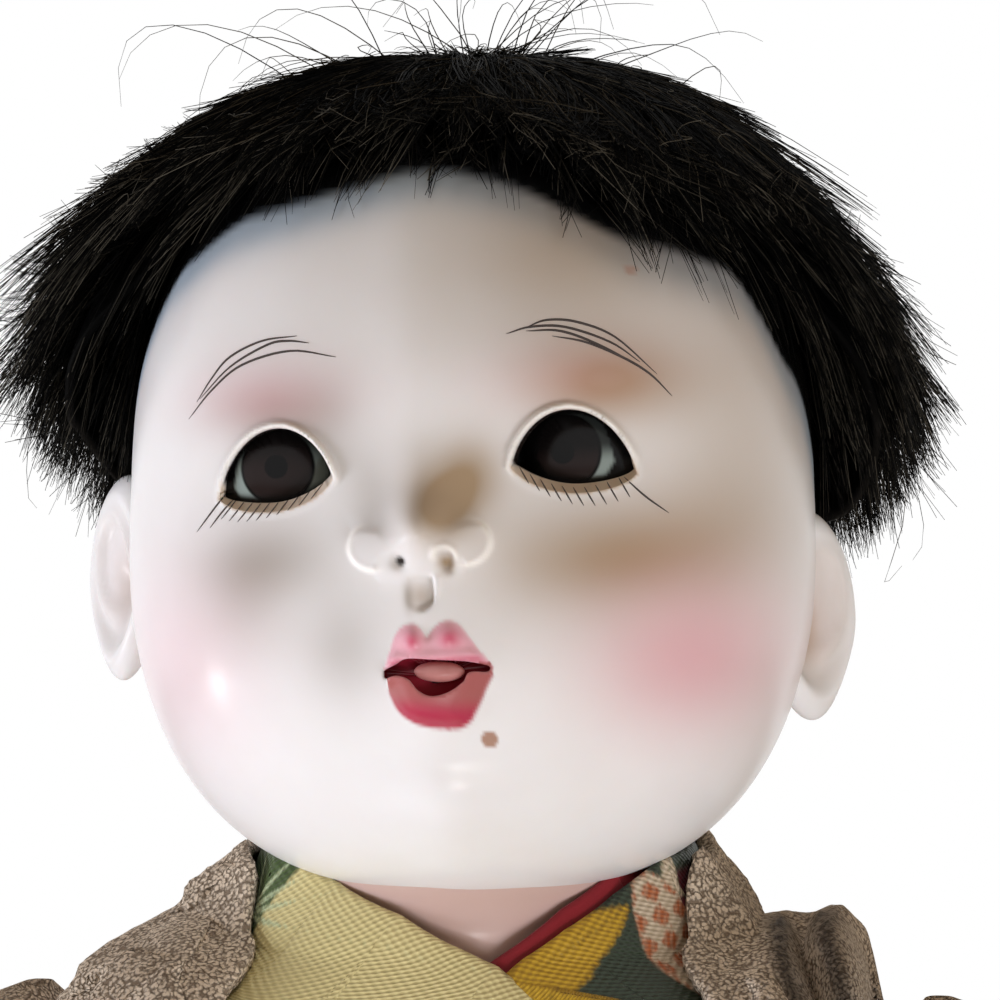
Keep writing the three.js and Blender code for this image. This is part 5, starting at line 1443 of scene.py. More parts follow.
class DOLL_OT_hair(bpy.types.Operator):
    """Glues on the wefts of hair: a dark under cap and many single hairs"""

    bl_idname = "doll.hair"
    bl_label = "Hair"

    def execute(self, context):
        material = hair_material()
        cap = self.cap()
        paint(cap, "tone", np.zeros(len(cap.data.vertices)))
        dress(cap, material, "head", "hair")
        nape = 180.0 - NAPE_HALF
        wefts = (
            ("fringe", -FRINGE_HALF, FRINGE_HALF, 11),
            ("right", -nape, -FRINGE_HALF, 12),
            ("left", FRINGE_HALF, nape, 13),
            ("back", nape, 360.0 - nape, 14),
            ("crown", -180.0, 180.0, 15),
        )
        for name, low, high, seed in wefts:
            self.weft(name, low, high, np.random.default_rng(seed), material)
        self.flyaways(material)
        return {"FINISHED"}

    def cap(self):
        """The dark layer under the single hairs."""

        def place(u, v):
            bearing = 360.0 * u - 180.0
            beside = smoothstep(np.abs(bearing), 60.0, 80.0)
            out = 0.15 + 0.5 * beside * smoothstep(v, 0.4, 0.8)
            return hair_place(bearing, v * mix(0.8, 0.97, beside), out)

        piece, _, _ = add_grid("hair_cap", *CAP_GRID, place, closed=True)
        modify(piece, "SOLIDIFY", thickness=CAP_THICKNESS * MM, offset=-1.0)
        return piece

    def weft(self, name, low, high, chance, material):
        """One weft of single hairs between two bearings, drawn together into tufts."""
        count = bpy.context.scene.doll_sizes.strands
        tufts = count // HAIRS_IN_TUFT
        tuft = chance.integers(tufts, size=count)
        middle = chance.uniform(low, high, tufts)
        spread = chance.normal(0.0, 2.2, count)
        crown = name == "crown"
        root = chance.uniform(0.0, 0.25, tufts) if crown else chance.uniform(0.02, 0.78, tufts)
        full = np.where(chance.random(tufts) < 0.6, 1.0, chance.uniform(0.5, 1.0, tufts))
        end = root + chance.uniform(0.25, 0.55, tufts) if crown else np.maximum(full, root + 0.15)
        front = np.abs((middle + 180.0) % 360.0 - 180.0) < FRINGE_HALF
        long = chance.random(tufts) < 0.3
        ragged = np.where(long, chance.uniform(0.0, 0.1, tufts), chance.normal(0.0, 0.03, tufts))
        end = np.where(front, end + ragged, end)
        outer = chance.random(tufts) < 0.62
        layer = np.where(outer, chance.uniform(0.84, 1.0, tufts), chance.random(tufts))
        drift = chance.normal(0.0, 10.0, tufts)
        rise = np.where(front, 0.45, 0.55) * chance.random(tufts) ** 2.5
        share = np.linspace(0.0, 1.0, HAIR_STEPS)[None]
        start = root[tuft] + chance.uniform(-0.04, 0.04, count)
        stop = end[tuft] + chance.normal(0.0, 1.0, count) * np.where(front, 0.05, 0.02)[tuft]
        along = np.clip(mix(start[:, None], stop[:, None], share), 0.0, 1.16)
        lift = (rise[tuft] + chance.uniform(0.0, 0.08, count))[:, None] * share**2
        inner = chance.uniform(0.55, 1.0, count)[:, None]
        height = (layer[tuft] + chance.normal(0.0, 0.04, count))[:, None]
        out = np.maximum(height * mix(inner, 1.0, smoothstep(share, 0.0, 0.5)) + lift, 0.05)
        fan = spread[:, None] * (1.0 - 0.7 * share)
        turn = middle[tuft][:, None] + fan + drift[tuft][:, None] * share
        wave = chance.normal(0.0, 1.2, count)[:, None] * np.sin(3.0 * share)
        turn = (turn + wave + 180.0) % 360.0 - 180.0
        paths = hair_place(turn, along, out)
        widths = size("strand_width") * chance.uniform(0.7, 1.25, count)
        # A few hairs are lighter: a random tone, partly a painted glint.
        tone = chance.random(count) ** 8
        self.lay_hairs(f"{name}_hairs", paths, widths, tone, material, f"hair_{name}")

    def lay_hairs(self, name, paths, widths, tone, material, *nodes):
        """A piece of single hairs along paths, each with its own tone."""
        piece = add_mesh(name, *strands(paths, widths))
        paint(piece, "tone", np.repeat(tone, paths.shape[1] * 3))
        dress(piece, material, "head", "hair", *nodes)

    def flyaways(self, material):
        """Loose curly hairs that stand off the surface."""
        chance = np.random.default_rng(21)
        count = LOOSE_HAIRS
        bearing = chance.uniform(-180.0, 180.0, count)
        root = chance.uniform(0.0, 0.9, count)
        root[:LOOSE_ON_TOP] = chance.uniform(0.0, 0.3, LOOSE_ON_TOP)
        share = np.linspace(0.0, 1.0, LOOSE_STEPS)[None]
        along = root[:, None] + chance.uniform(0.08, 0.3, count)[:, None] * share
        along = np.minimum(along, 1.08)
        rise = chance.uniform(0.05, 0.35, count)
        rise[:LOOSE_ON_TOP] = chance.uniform(0.5, 2.6, LOOSE_ON_TOP)
        out = 0.98 + rise[:, None] * np.sin(share * chance.uniform(1.5, 2.8, count)[:, None])
        curl = chance.normal(0.0, 9.0, count)[:, None]
        wave = chance.normal(0.0, 3.0, count)[:, None] * np.sin(6.0 * share)
        turn = bearing[:, None] + curl * share + wave
        paths = hair_place(turn, along, out)
        widths = np.full(count, size("flyaway_width"))
        self.lay_hairs("loose_hairs", paths, widths, chance.random(count), material)


def robe_point(bearing, height, over=0.0):
    """A place on the robe's surface: a bearing of 0 looks back and a half turn looks forward."""
    half_width, half_depth, square = stations(height, ROBE_PROFILE)
    across, deep = np.sin(bearing), np.cos(bearing)
    x = (half_width + over) * signed_power(across, 2 / square)
    y = (half_depth + over) * signed_power(deep, 2 / square)
    return np.stack((x, y + AXIS_Y, height + 0.0 * bearing), -1)


def front_bearing(height, open_half, over):
    """The bearing at which a surface of the clothes is open_half off the middle, in front."""
    half_width, _, square = stations(height, ROBE_PROFILE)
    return math.pi - np.arcsin(np.clip(open_half / (half_width + over), 0.0, 1.0) ** (square / 2))


def robe_bearing(x, y, height, over):
    """The bearing of the place on the robe's surface that a point lies over."""
    half_width, half_depth, square = stations(height, ROBE_PROFILE)
    across = signed_power(x / (half_width + over), square / 2)
    deep = signed_power((y - AXIS_Y) / (half_depth + over), square / 2)
    return np.arctan2(across, deep)


def band_place(line, over, side):
    """Places on a collar band: u runs along its edge at the neck, and v away from that edge."""

    def edge_place(u):
        degrees, height, _ = stations(u, line)
        return robe_point(side * np.radians(degrees), height, over(u, 0.0 * u, height))

    def place(u, v):
        _, height, width = stations(u, line)
        edge = edge_place(u)
        along = edge_place(u + 0.01) - edge
        half_width, half_depth, _ = stations(height, ROBE_PROFILE)
        out = np.stack((edge[:, 0] / half_width**2, (edge[:, 1] - AXIS_Y) / half_depth**2, 0.0 * u), -1)
        away = unit(side * np.cross(out, along))
        x, y, z = (edge + away * (v * width)[:, None]).T
        off = over(u, v, z)
        return robe_point(robe_bearing(x, y, z, off), z, off)

    return place


def arc_length(place, v, count=600):
    """Distances along a band's line at v, and the line's places."""
    u = np.linspace(0.0, 1.0, count)
    points = place(u, np.full(count, v))
    steps = np.linalg.norm(np.diff(points, axis=0), axis=1)
    return u, np.concatenate(((0.0,), np.cumsum(steps))), points


def leaf_inside(s, v, leaf):
    """How deep each place lies inside a leaf, and how far along and across it."""
    x, y, degrees, long, broad = leaf
    turn = math.radians(degrees)
    along = (s - x) * math.cos(turn) + (v - y) * math.sin(turn)
    across = -(s - x) * math.sin(turn) + (v - y) * math.cos(turn)
    share = np.clip(along / long, 0.0, 1.0)
    edge = broad * np.sin(math.pi * share**0.85) ** 0.85
    return edge - np.abs(across), along, across


def lay(tones, share, tint):
    """Lays a tint over colours by a share."""
    return mix(tones, np.array(tint)[None], np.clip(share, 0.0, 1.0)[:, None])


def plain_ground(name, count):
    """One of the panel's colours for each of many vertices."""
    return np.tile(np.array(colour(name)), (count, 1))


def print_leaf(tones, s, v, leaf, tint, line):
    """Prints a leaf with a stitched outline and a middle vein."""
    inside, along, across = leaf_inside(s, v, leaf)
    tones = lay(tones, smoothstep(inside, -0.06, 0.1), tint)
    stitches = smoothstep(np.sin(along * 9.0), -0.6, 0.2)
    stitch = bell(inside - 0.14, 0.15) * stitches
    vein = bell(across, 0.1) * smoothstep(inside, 0.0, 0.4) * stitches
    return lay(tones, 0.75 * np.maximum(stitch, vein), line)


def mottle(tones, s, v, leaf, tint):
    """Prints rows of soft spots on a leaf."""
    inside, along, across = leaf_inside(s, v, leaf)
    rows = np.cos(along * 2 * math.pi / 2.3)
    columns = np.cos((across - 0.1 * along) * 2 * math.pi / 2.6)
    spot = rows * 0.5 + columns * 0.5
    hatch = 0.8 + 0.2 * np.sin(along * 2 * math.pi / 0.42)
    return lay(tones, smoothstep(spot, -0.02, 0.25) * hatch * smoothstep(inside, 0.05, 0.3), tint)


def left_print(s, v):
    """The dark front: large mustard leaves, a mottled cream leaf and a dark red gap."""
    tones = plain_ground("green", len(s))
    tones = lay(tones, smoothstep(s, 18.6, 19.4) * smoothstep(v, 1.0, 1.8), colour("wine"))
    tones = print_leaf(tones, s, v, CREAM_LEAF, colour("cream"), colour("leaf"))
    tones = print_leaf(tones, s, v, MOTTLED_LEAF, colour("cream"), colour("rust"))
    tones = mottle(tones, s, v, MOTTLED_LEAF, colour("rust"))
    for leaf in MUSTARD_LEAVES:
        tones = print_leaf(tones, s, v, leaf, colour("mustard"), linear(MUSTARD_LINE_TONE))
    return scatter(tones, s, v, 5, -200.0, -6.0)


def right_print(s, v):
    """The gold front, with a green leaf and its pale veins at the neck."""
    tones = plain_ground("gold", len(s))
    tones = lay(tones, smoothstep(s - 14.2 - 0.15 * v, -0.2, 0.2), colour("leaf"))
    tones = lay(tones, smoothstep(s - 24.5 - 0.6 * v, -0.2, 0.2), colour("green"))
    for degrees in VEIN_ANGLES:
        inside, _, _ = leaf_inside(s, v, (18.0, 6.4, degrees - 90.0, 7.5, 0.3))
        tones = lay(tones, 0.85 * smoothstep(inside, -0.08, 0.12), linear(VEIN_TONE))
    return scatter(tones, s, v, 6, -200.0, -30.0)


def scatter(tones, s, v, seed, low, high):
    """Scatters leaves of the kimono's colours over places between low and high."""
    chance = np.random.default_rng(seed)
    tints = [colour(name) for name in ("mustard", "cream", "leaf", "wine", "rust")]
    count = int((high - low) * (v.max() - v.min()) / 210.0)
    for _ in range(count):
        long = chance.uniform(9.0, 17.0)
        start = (chance.uniform(low, high), chance.uniform(v.min(), v.max()))
        leaf = (*start, chance.uniform(0.0, 360.0), long, long * chance.uniform(0.16, 0.24))
        tint = tints[chance.integers(len(tints))]
        tones = print_leaf(tones, s, v, leaf, tint, linear(LEAF_LINE_TONE))
    return tones


def silk_material(name):
    """Printed silk crepe: its print over a coarse weave that gives rows of small shining knots, with
    painted shade in the gaps between them.
    """
    material, tree, shader = new_material(name, Roughness=0.5, Sheen_Weight=0.06, Specular_IOR_Level=0.4)
    pitch = 2 * math.pi / size("weave_pitch")
    cloth = painted(tree, "cloth").outputs["Vector"]
    turned = add_node(tree, "ShaderNodeVectorRotate", {"Angle": WEAVE_SLANT}, {"Vector": cloth})
    scale = {"operation": "MULTIPLY", 1: (pitch, pitch, pitch)}
    scaled = add_node(tree, "ShaderNodeVectorMath", scale, {0: turned.outputs[0]})
    parts = add_node(tree, "ShaderNodeSeparateXYZ", links={0: scaled.outputs[0]})
    threads = [maths(tree, "SINE", parts.outputs[k]) for k in (0, 1)]
    height = ramp(tree, maths(tree, "MULTIPLY", *threads), -1.0, 1.0)
    tone = painted(tree, "print").outputs["Color"]
    darker = {"data_type": "RGBA", "blend_type": "MULTIPLY", 0: 1.0, 7: WEAVE_SHADE}
    gap_shade = add_node(tree, "ShaderNodeMix", darker, {6: tone}).outputs[2]
    tree.links.new(blend_colour(tree, height, gap_shade, tone), shader.inputs["Base Color"])
    roughen(tree, shader, height, 0.2, 0.9)
    return material


def crepe_material():
    """Crepe of twisted thread: pale knobs with painted shade in the gaps between them, and no shine."""
    material, tree, shader = new_material("haori_crepe", Roughness=0.85, Specular_IOR_Level=0.2)
    place = add_node(tree, "ShaderNodeTexCoord").outputs["Object"]
    pitch = size("crepe_pitch") * MM
    coarser = {"Scale": 0.5 / pitch, "Detail": 1.0}
    wander = add_node(tree, "ShaderNodeTexNoise", coarser, {"Vector": place})
    shift = {"operation": "MULTIPLY_ADD", 1: (pitch, pitch, pitch)}
    moved = add_node(tree, "ShaderNodeVectorMath", shift, {0: wander.outputs["Color"], 2: place})
    cells = add_node(tree, "ShaderNodeTexVoronoi", {"Scale": 1.0 / pitch}, {"Vector": moved.outputs[0]})
    knob = ramp(tree, cells.outputs["Distance"], 0.8, 0.42)
    tone = blend_colour(tree, grain(tree, 6.0), colour("haori"), second_tone("haori"))
    # Painted shade in the gaps between the knobs.
    crepe = blend_colour(tree, knob, linear(CREPE_GAP_SHADE_TONE), tone)
    # Painted shade in the hollows beside the left shoulder's ridge.
    shade = painted(tree, "fold").outputs["Fac"]
    tree.links.new(blend_colour(tree, shade, crepe, linear(FOLD_SHADE_TONE)), shader.inputs["Base Color"])
    roughen(tree, shader, knob, 0.4, 1.0)
    return material


def plain_cloth(name, tint, pitch, depth):
    """A plain cloth with a fine grain and a slight change of tone."""
    material, tree, shader = grained(name, tint, 8.0, Roughness=0.75, Sheen_Weight=0.08)
    roughen(tree, shader, grain(tree, pitch), depth, 0.6)
    return material


def sew(name, sheet, place, closed=False, tones=None, holes=()):
    """A sheet of cloth: a shaped grid, printed, with its holes cut, and made as thick as the cloth."""
    columns, rows, thickness = sheet
    piece, u, v = add_grid(name, columns, rows, place)
    net = coordinates(piece).reshape(-1, len(np.unique(np.round(u, 6))), 3) / MM
    along = np.linalg.norm(np.diff(net, axis=1, prepend=net[:, :1]), axis=2).cumsum(1)
    across = np.linalg.norm(np.diff(net, axis=0, prepend=net[:1]), axis=2).cumsum(0)
    paint(piece, "cloth", np.stack((along.ravel(), across.ravel(), 0.0 * u), -1))
    if tones is not None:
        paint(piece, "print", tones(u, v))
    if closed:
        face_out(piece, join=True)
    for hole in holes:
        cut_hole(piece, *hole)
    modify(piece, "SOLIDIFY", thickness=thickness * MM, offset=0.0)
    face_out(piece)
    return piece


def cut_hole(piece, middle, axes, radii, where):
    """Cuts an elliptic hole through cloth, seen along the third axis, and rounds its edge."""
    work = bmesh.new()
    work.from_mesh(piece.data)
    first, second = axes

    def reach(co):
        across, up = co[first] / MM - middle[0], co[second] / MM - middle[1]
        return math.hypot(across / radii[0], up / radii[1])

    doomed = [v for v in work.verts if where(v.co / MM) and reach(v.co) < 1.0]
    bmesh.ops.delete(work, geom=doomed, context="VERTS")
    for vert in work.verts:
        if vert.is_boundary and where(vert.co / MM) and reach(vert.co) < 1.35:
            share = reach(vert.co)
            vert.co[first] = (middle[0] + (vert.co[first] / MM - middle[0]) / share) * MM
            vert.co[second] = (middle[1] + (vert.co[second] / MM - middle[1]) / share) * MM
    work.to_mesh(piece.data)
    work.free()


def armholes():
    """The holes for both arms, about the line through the shoulders."""
    shape = ((AXIS_Y, SHOULDER), (1, 2), (ARMHOLE_RADIUS, ARMHOLE_RADIUS))
    return ((*shape, lambda co: co[0] < -ARMHOLE_OUT), (*shape, lambda co: co[0] > ARMHOLE_OUT))


class DOLL_OT_kimono(bpy.types.Operator):
    """Wraps the kimono, its collars and the sash"""

    bl_idname = "doll.kimono"
    bl_label = "Kimono"

    def execute(self, context):
        silk = silk_material("kimono_silk")
        self.robe(silk)
        self.collars(silk)
        red = plain_cloth("crimson_silk", "crimson", 0.35, 0.1)
        for side, name, line in ((-1, "right", UNDER_RIGHT), (1, "left", UNDER_LEFT)):
            tuck = 1.4 if side < 0 else -1.0

            def over(u, v, height):
                return UNDER_COLLAR_OVER - tuck * smoothstep(u, 0.55, 0.85) + 0.5 * (1.0 - v)

            piece = sew(f"{name}_under_collar", UNDER_COLLAR_SHEET, band_place(line, over, side))
            dress(piece, red, "torso", "red_silk", "under_collar")
        self.sash()
        return {"FINISHED"}

    def robe(self, silk):
        """The robe: one sheet wrapped round, the doll's right front over the left."""

        def place(u, v):
            bearing = mix(-math.pi - ROBE_WRAP, math.pi + ROBE_WRAP, u)
            height = mix(HEM, KIMONO_TOP, v)
            skirt = fade(height, HEM, OBI_FOOT)
            fold = 1.6 * skirt * np.sin(9.0 * bearing + 0.6 * np.sin(height / 31.0))
            panel = WRAP_STEP * fade(bearing, -math.pi + ROBE_WRAP, -2.05)
            return robe_point(bearing, height, panel + fold)

        def tones(u, v):
            s, t = u * KIMONO_CUT[0], v * KIMONO_CUT[1]
            ground = plain_ground("green", len(u))
            ground = lay(ground, fade(u, 0.24, 0.25), colour("gold"))
            return scatter(ground, s, t, 4, 0.0, KIMONO_CUT[0])

        piece = sew("kimono_silk", ROBE_SHEET, place, tones=tones, holes=armholes())
        dress(piece, silk, "torso", "kimono_print", "kimono_robe")

    def collars(self, silk):
        """The two collar bands, the doll's right one on top where they cross."""
        bands = ((-1, "right", RIGHT_COLLAR, right_print), (1, "left", LEFT_COLLAR, left_print))
        for side, name, line, tones in bands:
            step = WRAP_STEP if side < 0 else 0.0

            def over(u, v, height):
                chest = COLLAR_CHEST_OVER + step
                roll = 0.7 * arch(v)
                tuck = TUCKS[side] * (1.0 - v) ** 2 * smoothstep(u, 0.4, 0.5) * fade(u, 0.64, 0.74)
                return mix(COLLAR_NECK_OVER - 0.7, chest, smoothstep(u, 0.36, 0.56)) + roll - tuck

            place = band_place(line, over, side)
            ways, reach, points = arc_length(place, 0.0)
            front = points[:, 1] < AXIS_Y
            crossing = reach[np.argmax(front & (points[:, 0] * -side > -4.2))]

            def printed(u, v):
                return tones(crossing - np.interp(u, ways, reach), v * stations(u, line)[2])

            piece = sew(f"{name}_collar", COLLAR_SHEET, place, tones=printed)
            dress(piece, silk, "torso", "kimono_print", "kimono_collar")

    def sash(self):
        """The sash and its flat knot behind."""
        cloth = plain_cloth("sash_silk", "sash", 0.5, 0.15)

        def place(u, v):
            height = mix(OBI_FOOT, OBI_TOP, v)
            wave = np.sin(v * 2 * math.pi * 2.0 + 0.8 * np.sin(2 * math.pi * u))
            crease = 0.35 * wave * np.sin(math.pi * v)
            return robe_point(2 * math.pi * u, height, OBI_OVER + crease)

        piece = sew("sash_band", OBI_SHEET, place, closed=True)
        dress(piece, cloth, "torso", "sash", "obi")
        knot = soft_copy("obi_knot", "sash_knot", *KNOT_FINISH)
        dress(knot, cloth, "torso", "sash", "obi_knot")


def haori_over(bearing, height):
    """How far the haori's cloth stands off the robe: its folds behind and the sash's knot under it."""
    drape = fade(height, HAORI_HEM, OBI_TOP + 8.0)
    behind = fade(np.abs(bearing), 1.8, 2.2)
    fold = 1.8 * drape * behind * (1.0 + np.cos(7.0 * bearing))
    rise, wide, middle, tall = KNOT_ROOM
    knot = rise * bell(bearing, wide) * bell(height - middle, tall)
    neck = smoothstep(height, SHOULDER + 6.0, HAORI_TOP)
    return mix(HAORI_OVER, HAORI_NECK_OVER, neck) + np.maximum(fold, knot)


def shoulder_folds(points):
    """The shares of the left shoulder's ridge, and of the hollows on its inner and outer side."""
    x, y, z = points.T
    front = smoothstep(-(y - AXIS_Y), -8.0, 2.0) * smoothstep(z, 255.0, 284.0) * smoothstep(x, 26.0, 30.0)
    off = x - 34.5 - 0.4 * (296.0 - z)
    return front * bell(off, 1.0), front * bell(off + 2.2, 1.1), front * bell(off - 2.7, 1.5)


def slope_height(out, slope):
    """The height of a sloping line at places across."""
    start, height, fall = slope
    return height - fall * (out - start)


def shoulder_line(points, share=1.0, under=0.0):
    """Lifts the haori's shoulders by a share, slopes them, and pinches the left one into folds."""
    x, y, z = points.T
    high = share * smoothstep(z, SHOULDER - 2.0, 289.0)
    left = sum(rise * smoothstep(x, low, high) for rise, low, high in LEFT_SHOULDER_STEPS)
    lift = 4.5 * smoothstep(-x, 16.0, 30.0) + left * fade(x, 39.0, 42.0)
    ridge, inner, outer = shoulder_folds(points)
    fold = 1.4 * ridge - 5.0 * inner - 7.0 * outer
    rise = z + high * lift + 0.4 * fold
    slope = slope_height(-x, RIGHT_SHOULDER_SLOPE) - under
    rise = np.where(x < -21.0, np.minimum(rise, slope), rise)
    return np.stack((x, y - 0.8 * fold, rise), -1)


class DOLL_OT_haori(bpy.types.Operator):
    """Puts on the haori with its lapels and sleeves"""

    bl_idname = "doll.haori"
    bl_label = "Haori"

    def execute(self, context):
        crepe = crepe_material()
        self.body(crepe)
        self.lapels(crepe)
        silk = silk_material("sleeve_silk")
        for side, name in SIDES:
            self.sleeve(side, name, "haori", crepe, "haori_crepe")
            self.sleeve(side, name, "kimono", silk, "kimono_print")
        return {"FINISHED"}

    def body(self, crepe):
        """The haori's body: one sheet round the back, open in front."""

        def place(u, v):
            height = mix(HAORI_HEM, HAORI_TOP, crowded(v, 0.0, 1.0, *HAORI_ROW_CROWDING))
            open_half = mix(*HAORI_OPEN, smoothstep(height, HAORI_HEM, SHOULDER))
            turn = 2.0 * crowded(u, 0.0, 1.0, *HAORI_COLUMN_CROWDING) - 1.0
            bearing = turn * front_bearing(height, open_half, HAORI_OVER)
            return shoulder_line(robe_point(bearing, height, haori_over(bearing, height)), under=1.2)

        piece = sew("haori_cloth", HAORI_SHEET, place, holes=armholes())
        _, inner, outer = shoulder_folds(coordinates(piece) / MM)
        # Painted shade in the hollows on each side of the left shoulder's ridge.
        paint(piece, "fold", 0.9 * np.clip(inner + outer, 0.0, 1.0))
        dress(piece, crepe, "torso", "haori_crepe", "haori_body")

    def lapels(self, crepe):
        """The folded band round the neck and down both front edges."""

        def over(u, v, height):
            roll = 1.3 * arch(v)
            near = 3.4 * smoothstep(height, 289.0, 302.0) * fade(v, 0.2, 0.9)
            return haori_over(np.full_like(u, math.pi), height) + 2.2 + roll - near

        for side, name in SIDES:
            line = list(LAPEL_EDGES[side])
            for share, height in LAPEL_RUN:
                open_half = mix(LAPEL_HEM_OPEN, LAPEL_OPEN[side], smoothstep(height, HAORI_HEM, SHOULDER))
                open_half = mix(open_half, LAPEL_NECK_OPEN[side], smoothstep(height, 290.0, 301.0))
                stand = over(np.zeros(1), np.zeros(1), np.array((height,)))
                bearing = math.degrees(front_bearing(np.array((height,)), open_half, stand)[0])
                narrow = float(smoothstep(height, SHOULDER, 300.0))
                line.append((share, bearing, height, mix(LAPEL_WIDTH, LAPEL_NECK_WIDTH, narrow)))
            shape = band_place(line, over, side)

            def place(u, v):
                x, y, z = shoulder_line(shape(u, v), mix(0.35, 0.8, v)).T
                capped = np.minimum(z, slope_height(x, LAPEL_SLOPE))
                return np.stack((x, y, np.where(x > LAPEL_SLOPE[0], capped, z)), -1)

            piece = sew(f"{name}_lapel", LAPEL_SHEET, place)
            self.raise_knobs(piece)
            dress(piece, crepe, "torso", "haori_crepe", "haori_collar")

    def raise_knobs(self, piece):
        """Raises the crepe's knobs."""
        places = coordinates(piece) / MM
        normals = np.empty(len(places) * 3)
        piece.data.vertices.foreach_get("normal", normals)
        pitch = 2.0 * size("crepe_pitch")
        rise = np.array([noise.noise(Vector(p / pitch)) for p in places])
        set_coordinates(piece, places + normals.reshape(-1, 3) * (0.2 * rise)[:, None])

    def sleeve(self, side, name, garment, material, slot):
        """One hanging sleeve, open at the arm and at the hand."""
        inset = SLEEVE_INSETS[garment]
        foot, top = SLEEVE_ROWS[0][0] + inset, SLEEVE_ROWS[-1][0] - inset

        def place(u, v):
            height = mix(foot, top, v)
            breadth, deep, forward, off = stations(height, SLEEVE_ROWS)
            angle = 2 * math.pi * u
            close = np.clip(np.minimum(v, 1.0 - v) / 0.025, 0.0, 1.0) ** 0.5
            fold = 0.7 * np.sin(5.0 * angle + height / 14.0) * smoothstep(height, 165.0, 200.0) * close
            fold = fold * fade(height, 230.0, 270.0)
            half = np.maximum(breadth / 2 - inset, 0.6) * close
            deep = np.maximum(deep - inset + fold, 0.8) * close
            x = SLEEVE_PLANE + off + breadth / 2 + half * signed_power(np.cos(angle), 0.72)
            y = AXIS_Y - forward + deep * signed_power(np.sin(angle), 0.72)
            return np.stack((side * x, y, height), -1)

        cuff = ((side * (ARM_HANG + 2.0), WRIST - 4.0), (0, 2), (17.0 - inset, 10.5 - inset / 2))
        arm = ((AXIS_Y, SHOULDER), (1, 2), (11.5 - inset / 2, 11.5 - inset / 2))
        inner = SLEEVE_PLANE + 9.0
        holes = (
            (*cuff, lambda co: co[1] < AXIS_Y - 12.0),
            (*arm, lambda co: abs(co[0]) < inner),
        )

        def tones(u, v):
            ground = plain_ground("green", len(u))
            return scatter(ground, u * SLEEVE_CUT[0], v * SLEEVE_CUT[1], 8 + side, 0.0, SLEEVE_CUT[0])

        piece = sew(f"{name}_{garment}_bag", SLEEVE_SHEETS[garment], place, True, tones, holes)
        dress(piece, material, f"{name}_arm", slot, f"{name}_{garment}_sleeve")


def soft_copy(node, name, voxel, rounds):
    """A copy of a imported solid, with its facets rounded off."""
    choose(bpy.data.objects[node])
    bpy.ops.object.duplicate()
    piece = bpy.context.object
    piece.name = name
    piece.parent = None
    face_out(piece, join=True)
    modify(piece, "REMESH", mode="VOXEL", voxel_size=voxel * MM)
    modify(piece, "SMOOTH", factor=0.5, iterations=rounds)
    return piece


class DOLL_OT_body(bpy.types.Operator):
    """Finishes the hands, feet, cloth limbs and the hidden body"""

    bl_idname = "doll.body"
    bl_label = "Body and limbs"

    def execute(self, context):
        gofun = bpy.data.materials["gofun"]
        muslin = plain_cloth("muslin", "muslin", 0.5, 0.1)
        for _, name in SIDES:
            hand = soft_copy(f"{name}_forearm", f"{name}_hand", *HAND_FINISH)
            dress(hand, gofun, f"{name}_arm", "gofun", f"{name}_forearm")
            foot = soft_copy(f"{name}_shin", f"{name}_foot", *FOOT_FINISH)
            dress(foot, gofun, f"{name}_leg", "gofun", f"{name}_shin")
            for node, body in ((f"{name}_upper_arm", f"{name}_arm"), (f"{name}_thigh", f"{name}_leg")):
                piece = soft_copy(node, f"{node}_cloth", *LIMB_FINISH)
                dress(piece, muslin, body, "muslin", node)
        roll = soft_copy("waist_stuffing", "waist_roll", *ROLL_FINISH)
        dress(roll, muslin, "torso", "muslin", "waist_stuffing", "waist_cloth")
        wood, _, _ = grained("pale_wood", "wood", 3.0, 4.0, Roughness=0.6)
        leather = plain_cloth("leather", "leather", 0.8, 0.15)
        for node in ("chest", "hips", "neck_peg"):
            coat(bpy.data.objects[node], wood)
        coat(bpy.data.objects["neck_washer"], leather)
        return {"FINISHED"}


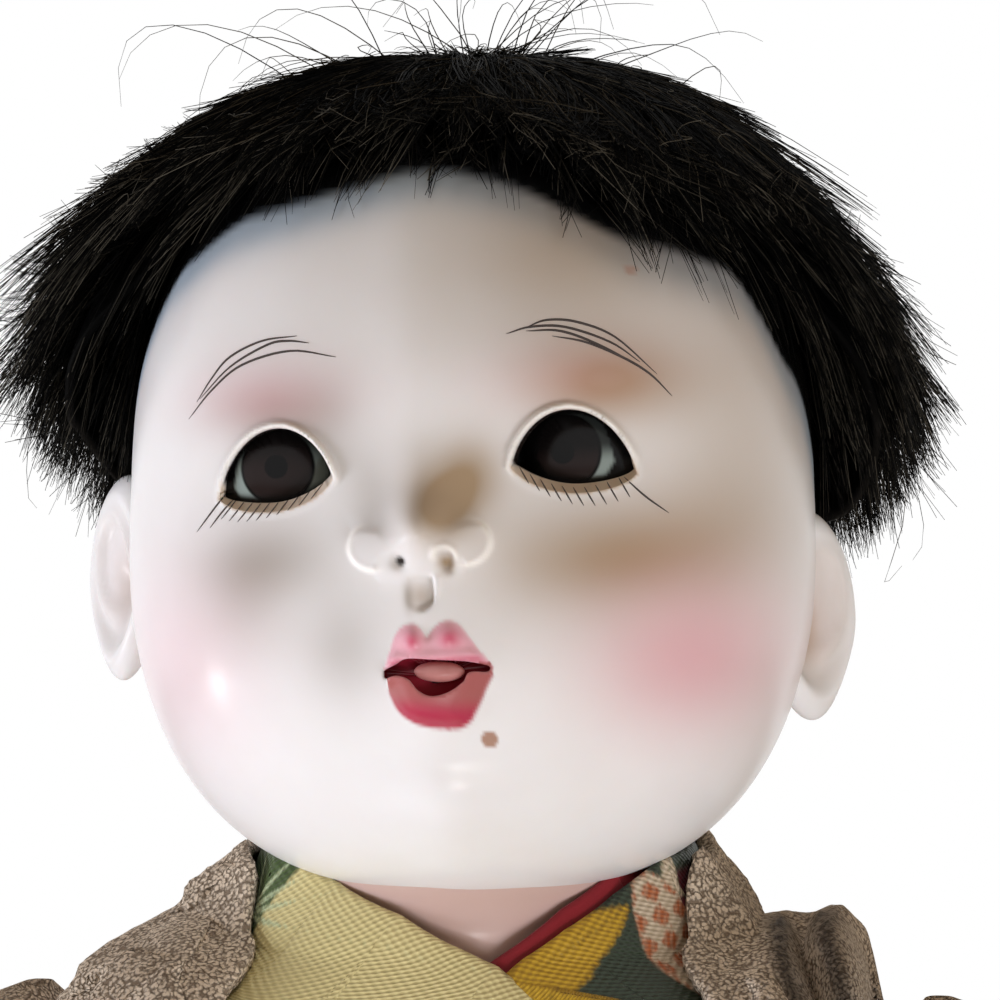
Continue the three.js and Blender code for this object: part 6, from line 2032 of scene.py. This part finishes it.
class DOLL_OT_stage(bpy.types.Operator):
    """Sets the floor, the white background, the soft lights and the camera"""

    bl_idname = "doll.stage"
    bl_label = "Stage"

    def execute(self, context):
        scene = context.scene
        bpy.ops.object.select_all(action="DESELECT")
        bpy.ops.mesh.primitive_plane_add(size=FLOOR_SIDE)
        floor = context.object
        floor.name = "studio_floor"
        material, _, _ = new_material("studio_floor", Base_Color=colour("floor"), Roughness=0.8)
        floor.data.materials.append(material)
        for lamp in LAMPS:
            self.lamp(*lamp)
        self.world(scene)
        eye, _, ahead = camera_axes()
        bpy.ops.object.camera_add(location=Vector(eye * MM))
        camera = context.object
        camera.rotation_euler = Vector(ahead).to_track_quat("-Z", "Y").to_euler()
        camera.data.sensor_width = SENSOR_SIDE
        camera.data.lens = SENSOR_SIDE * FOCAL_PIXELS / PICTURE_SIDE
        camera.data.clip_start = CLIP_START
        scene.camera = camera
        scene.view_settings.view_transform = "Standard"
        return {"FINISHED"}

    def lamp(self, name, place, side, power, tint, glints):
        """A soft round lamp that looks at the head."""
        place = Vector(place)
        bpy.ops.object.light_add(type="AREA", location=place)
        lamp = bpy.context.object
        lamp.name = name
        lamp.data.shape = "DISK"
        lamp.data.size = side
        lamp.data.energy = power
        lamp.data.color = linear(tint)[:3]
        lamp.visible_glossy = glints
        lamp.rotation_euler = (Vector(HEAD_MIDDLE * MM) - place).to_track_quat("-Z", "Y").to_euler()
        return lamp

    def world(self, scene):
        """White behind the doll, and a dim warm light on it."""
        world = bpy.data.worlds.new("studio")
        scene.world = world
        world.use_nodes = True
        tree = world.node_tree
        ground = tree.nodes["Background"]
        rays = add_node(tree, "ShaderNodeLightPath")
        seen = rays.outputs["Is Camera Ray"]
        for kind in ("Is Glossy Ray", "Is Transmission Ray"):
            seen = maths(tree, "MAXIMUM", seen, rays.outputs[kind])
        tone = blend_colour(tree, seen, linear(WORLD_TONE), (1.0, 1.0, 1.0, 1.0))
        tree.links.new(tone, ground.inputs["Color"])
        strength = ramp(tree, seen, 0.0, 1.0, {"To Min": 0.3, "To Max": 1.0})
        tree.links.new(strength, ground.inputs["Strength"])


class DOLL_PT_panel(bpy.types.Panel):
    """Lists the doll's steps and sizes"""

    bl_idname = "DOLL_PT_panel"
    bl_label = "Ichimatsu doll"
    bl_space_type = "VIEW_3D"
    bl_region_type = "UI"
    bl_category = "Doll"

    def draw(self, context):
        for step in STEPS:
            self.layout.operator(step.bl_idname)
        for group in (context.scene.doll_sizes, context.scene.doll_colours):
            for name in group.__annotations__:
                self.layout.prop(group, name)


STEPS = (
    DOLL_OT_head,
    DOLL_OT_eyes,
    DOLL_OT_hair,
    DOLL_OT_kimono,
    DOLL_OT_haori,
    DOLL_OT_body,
    DOLL_OT_stage,
)
CLASSES = (DollSizes, DollColours, *STEPS, DOLL_PT_panel)


def register():
    for item in CLASSES:
        bpy.utils.register_class(item)
    bpy.types.Scene.doll_sizes = bpy.props.PointerProperty(type=DollSizes)
    bpy.types.Scene.doll_colours = bpy.props.PointerProperty(type=DollColours)


def unregister():
    del bpy.types.Scene.doll_colours
    del bpy.types.Scene.doll_sizes
    for item in reversed(CLASSES):
        bpy.utils.unregister_class(item)


def main():
    register()
    for step in STEPS:
        group, name = step.bl_idname.split(".")
        getattr(getattr(bpy.ops, group), name)()


if __name__ == "__main__":
    main()
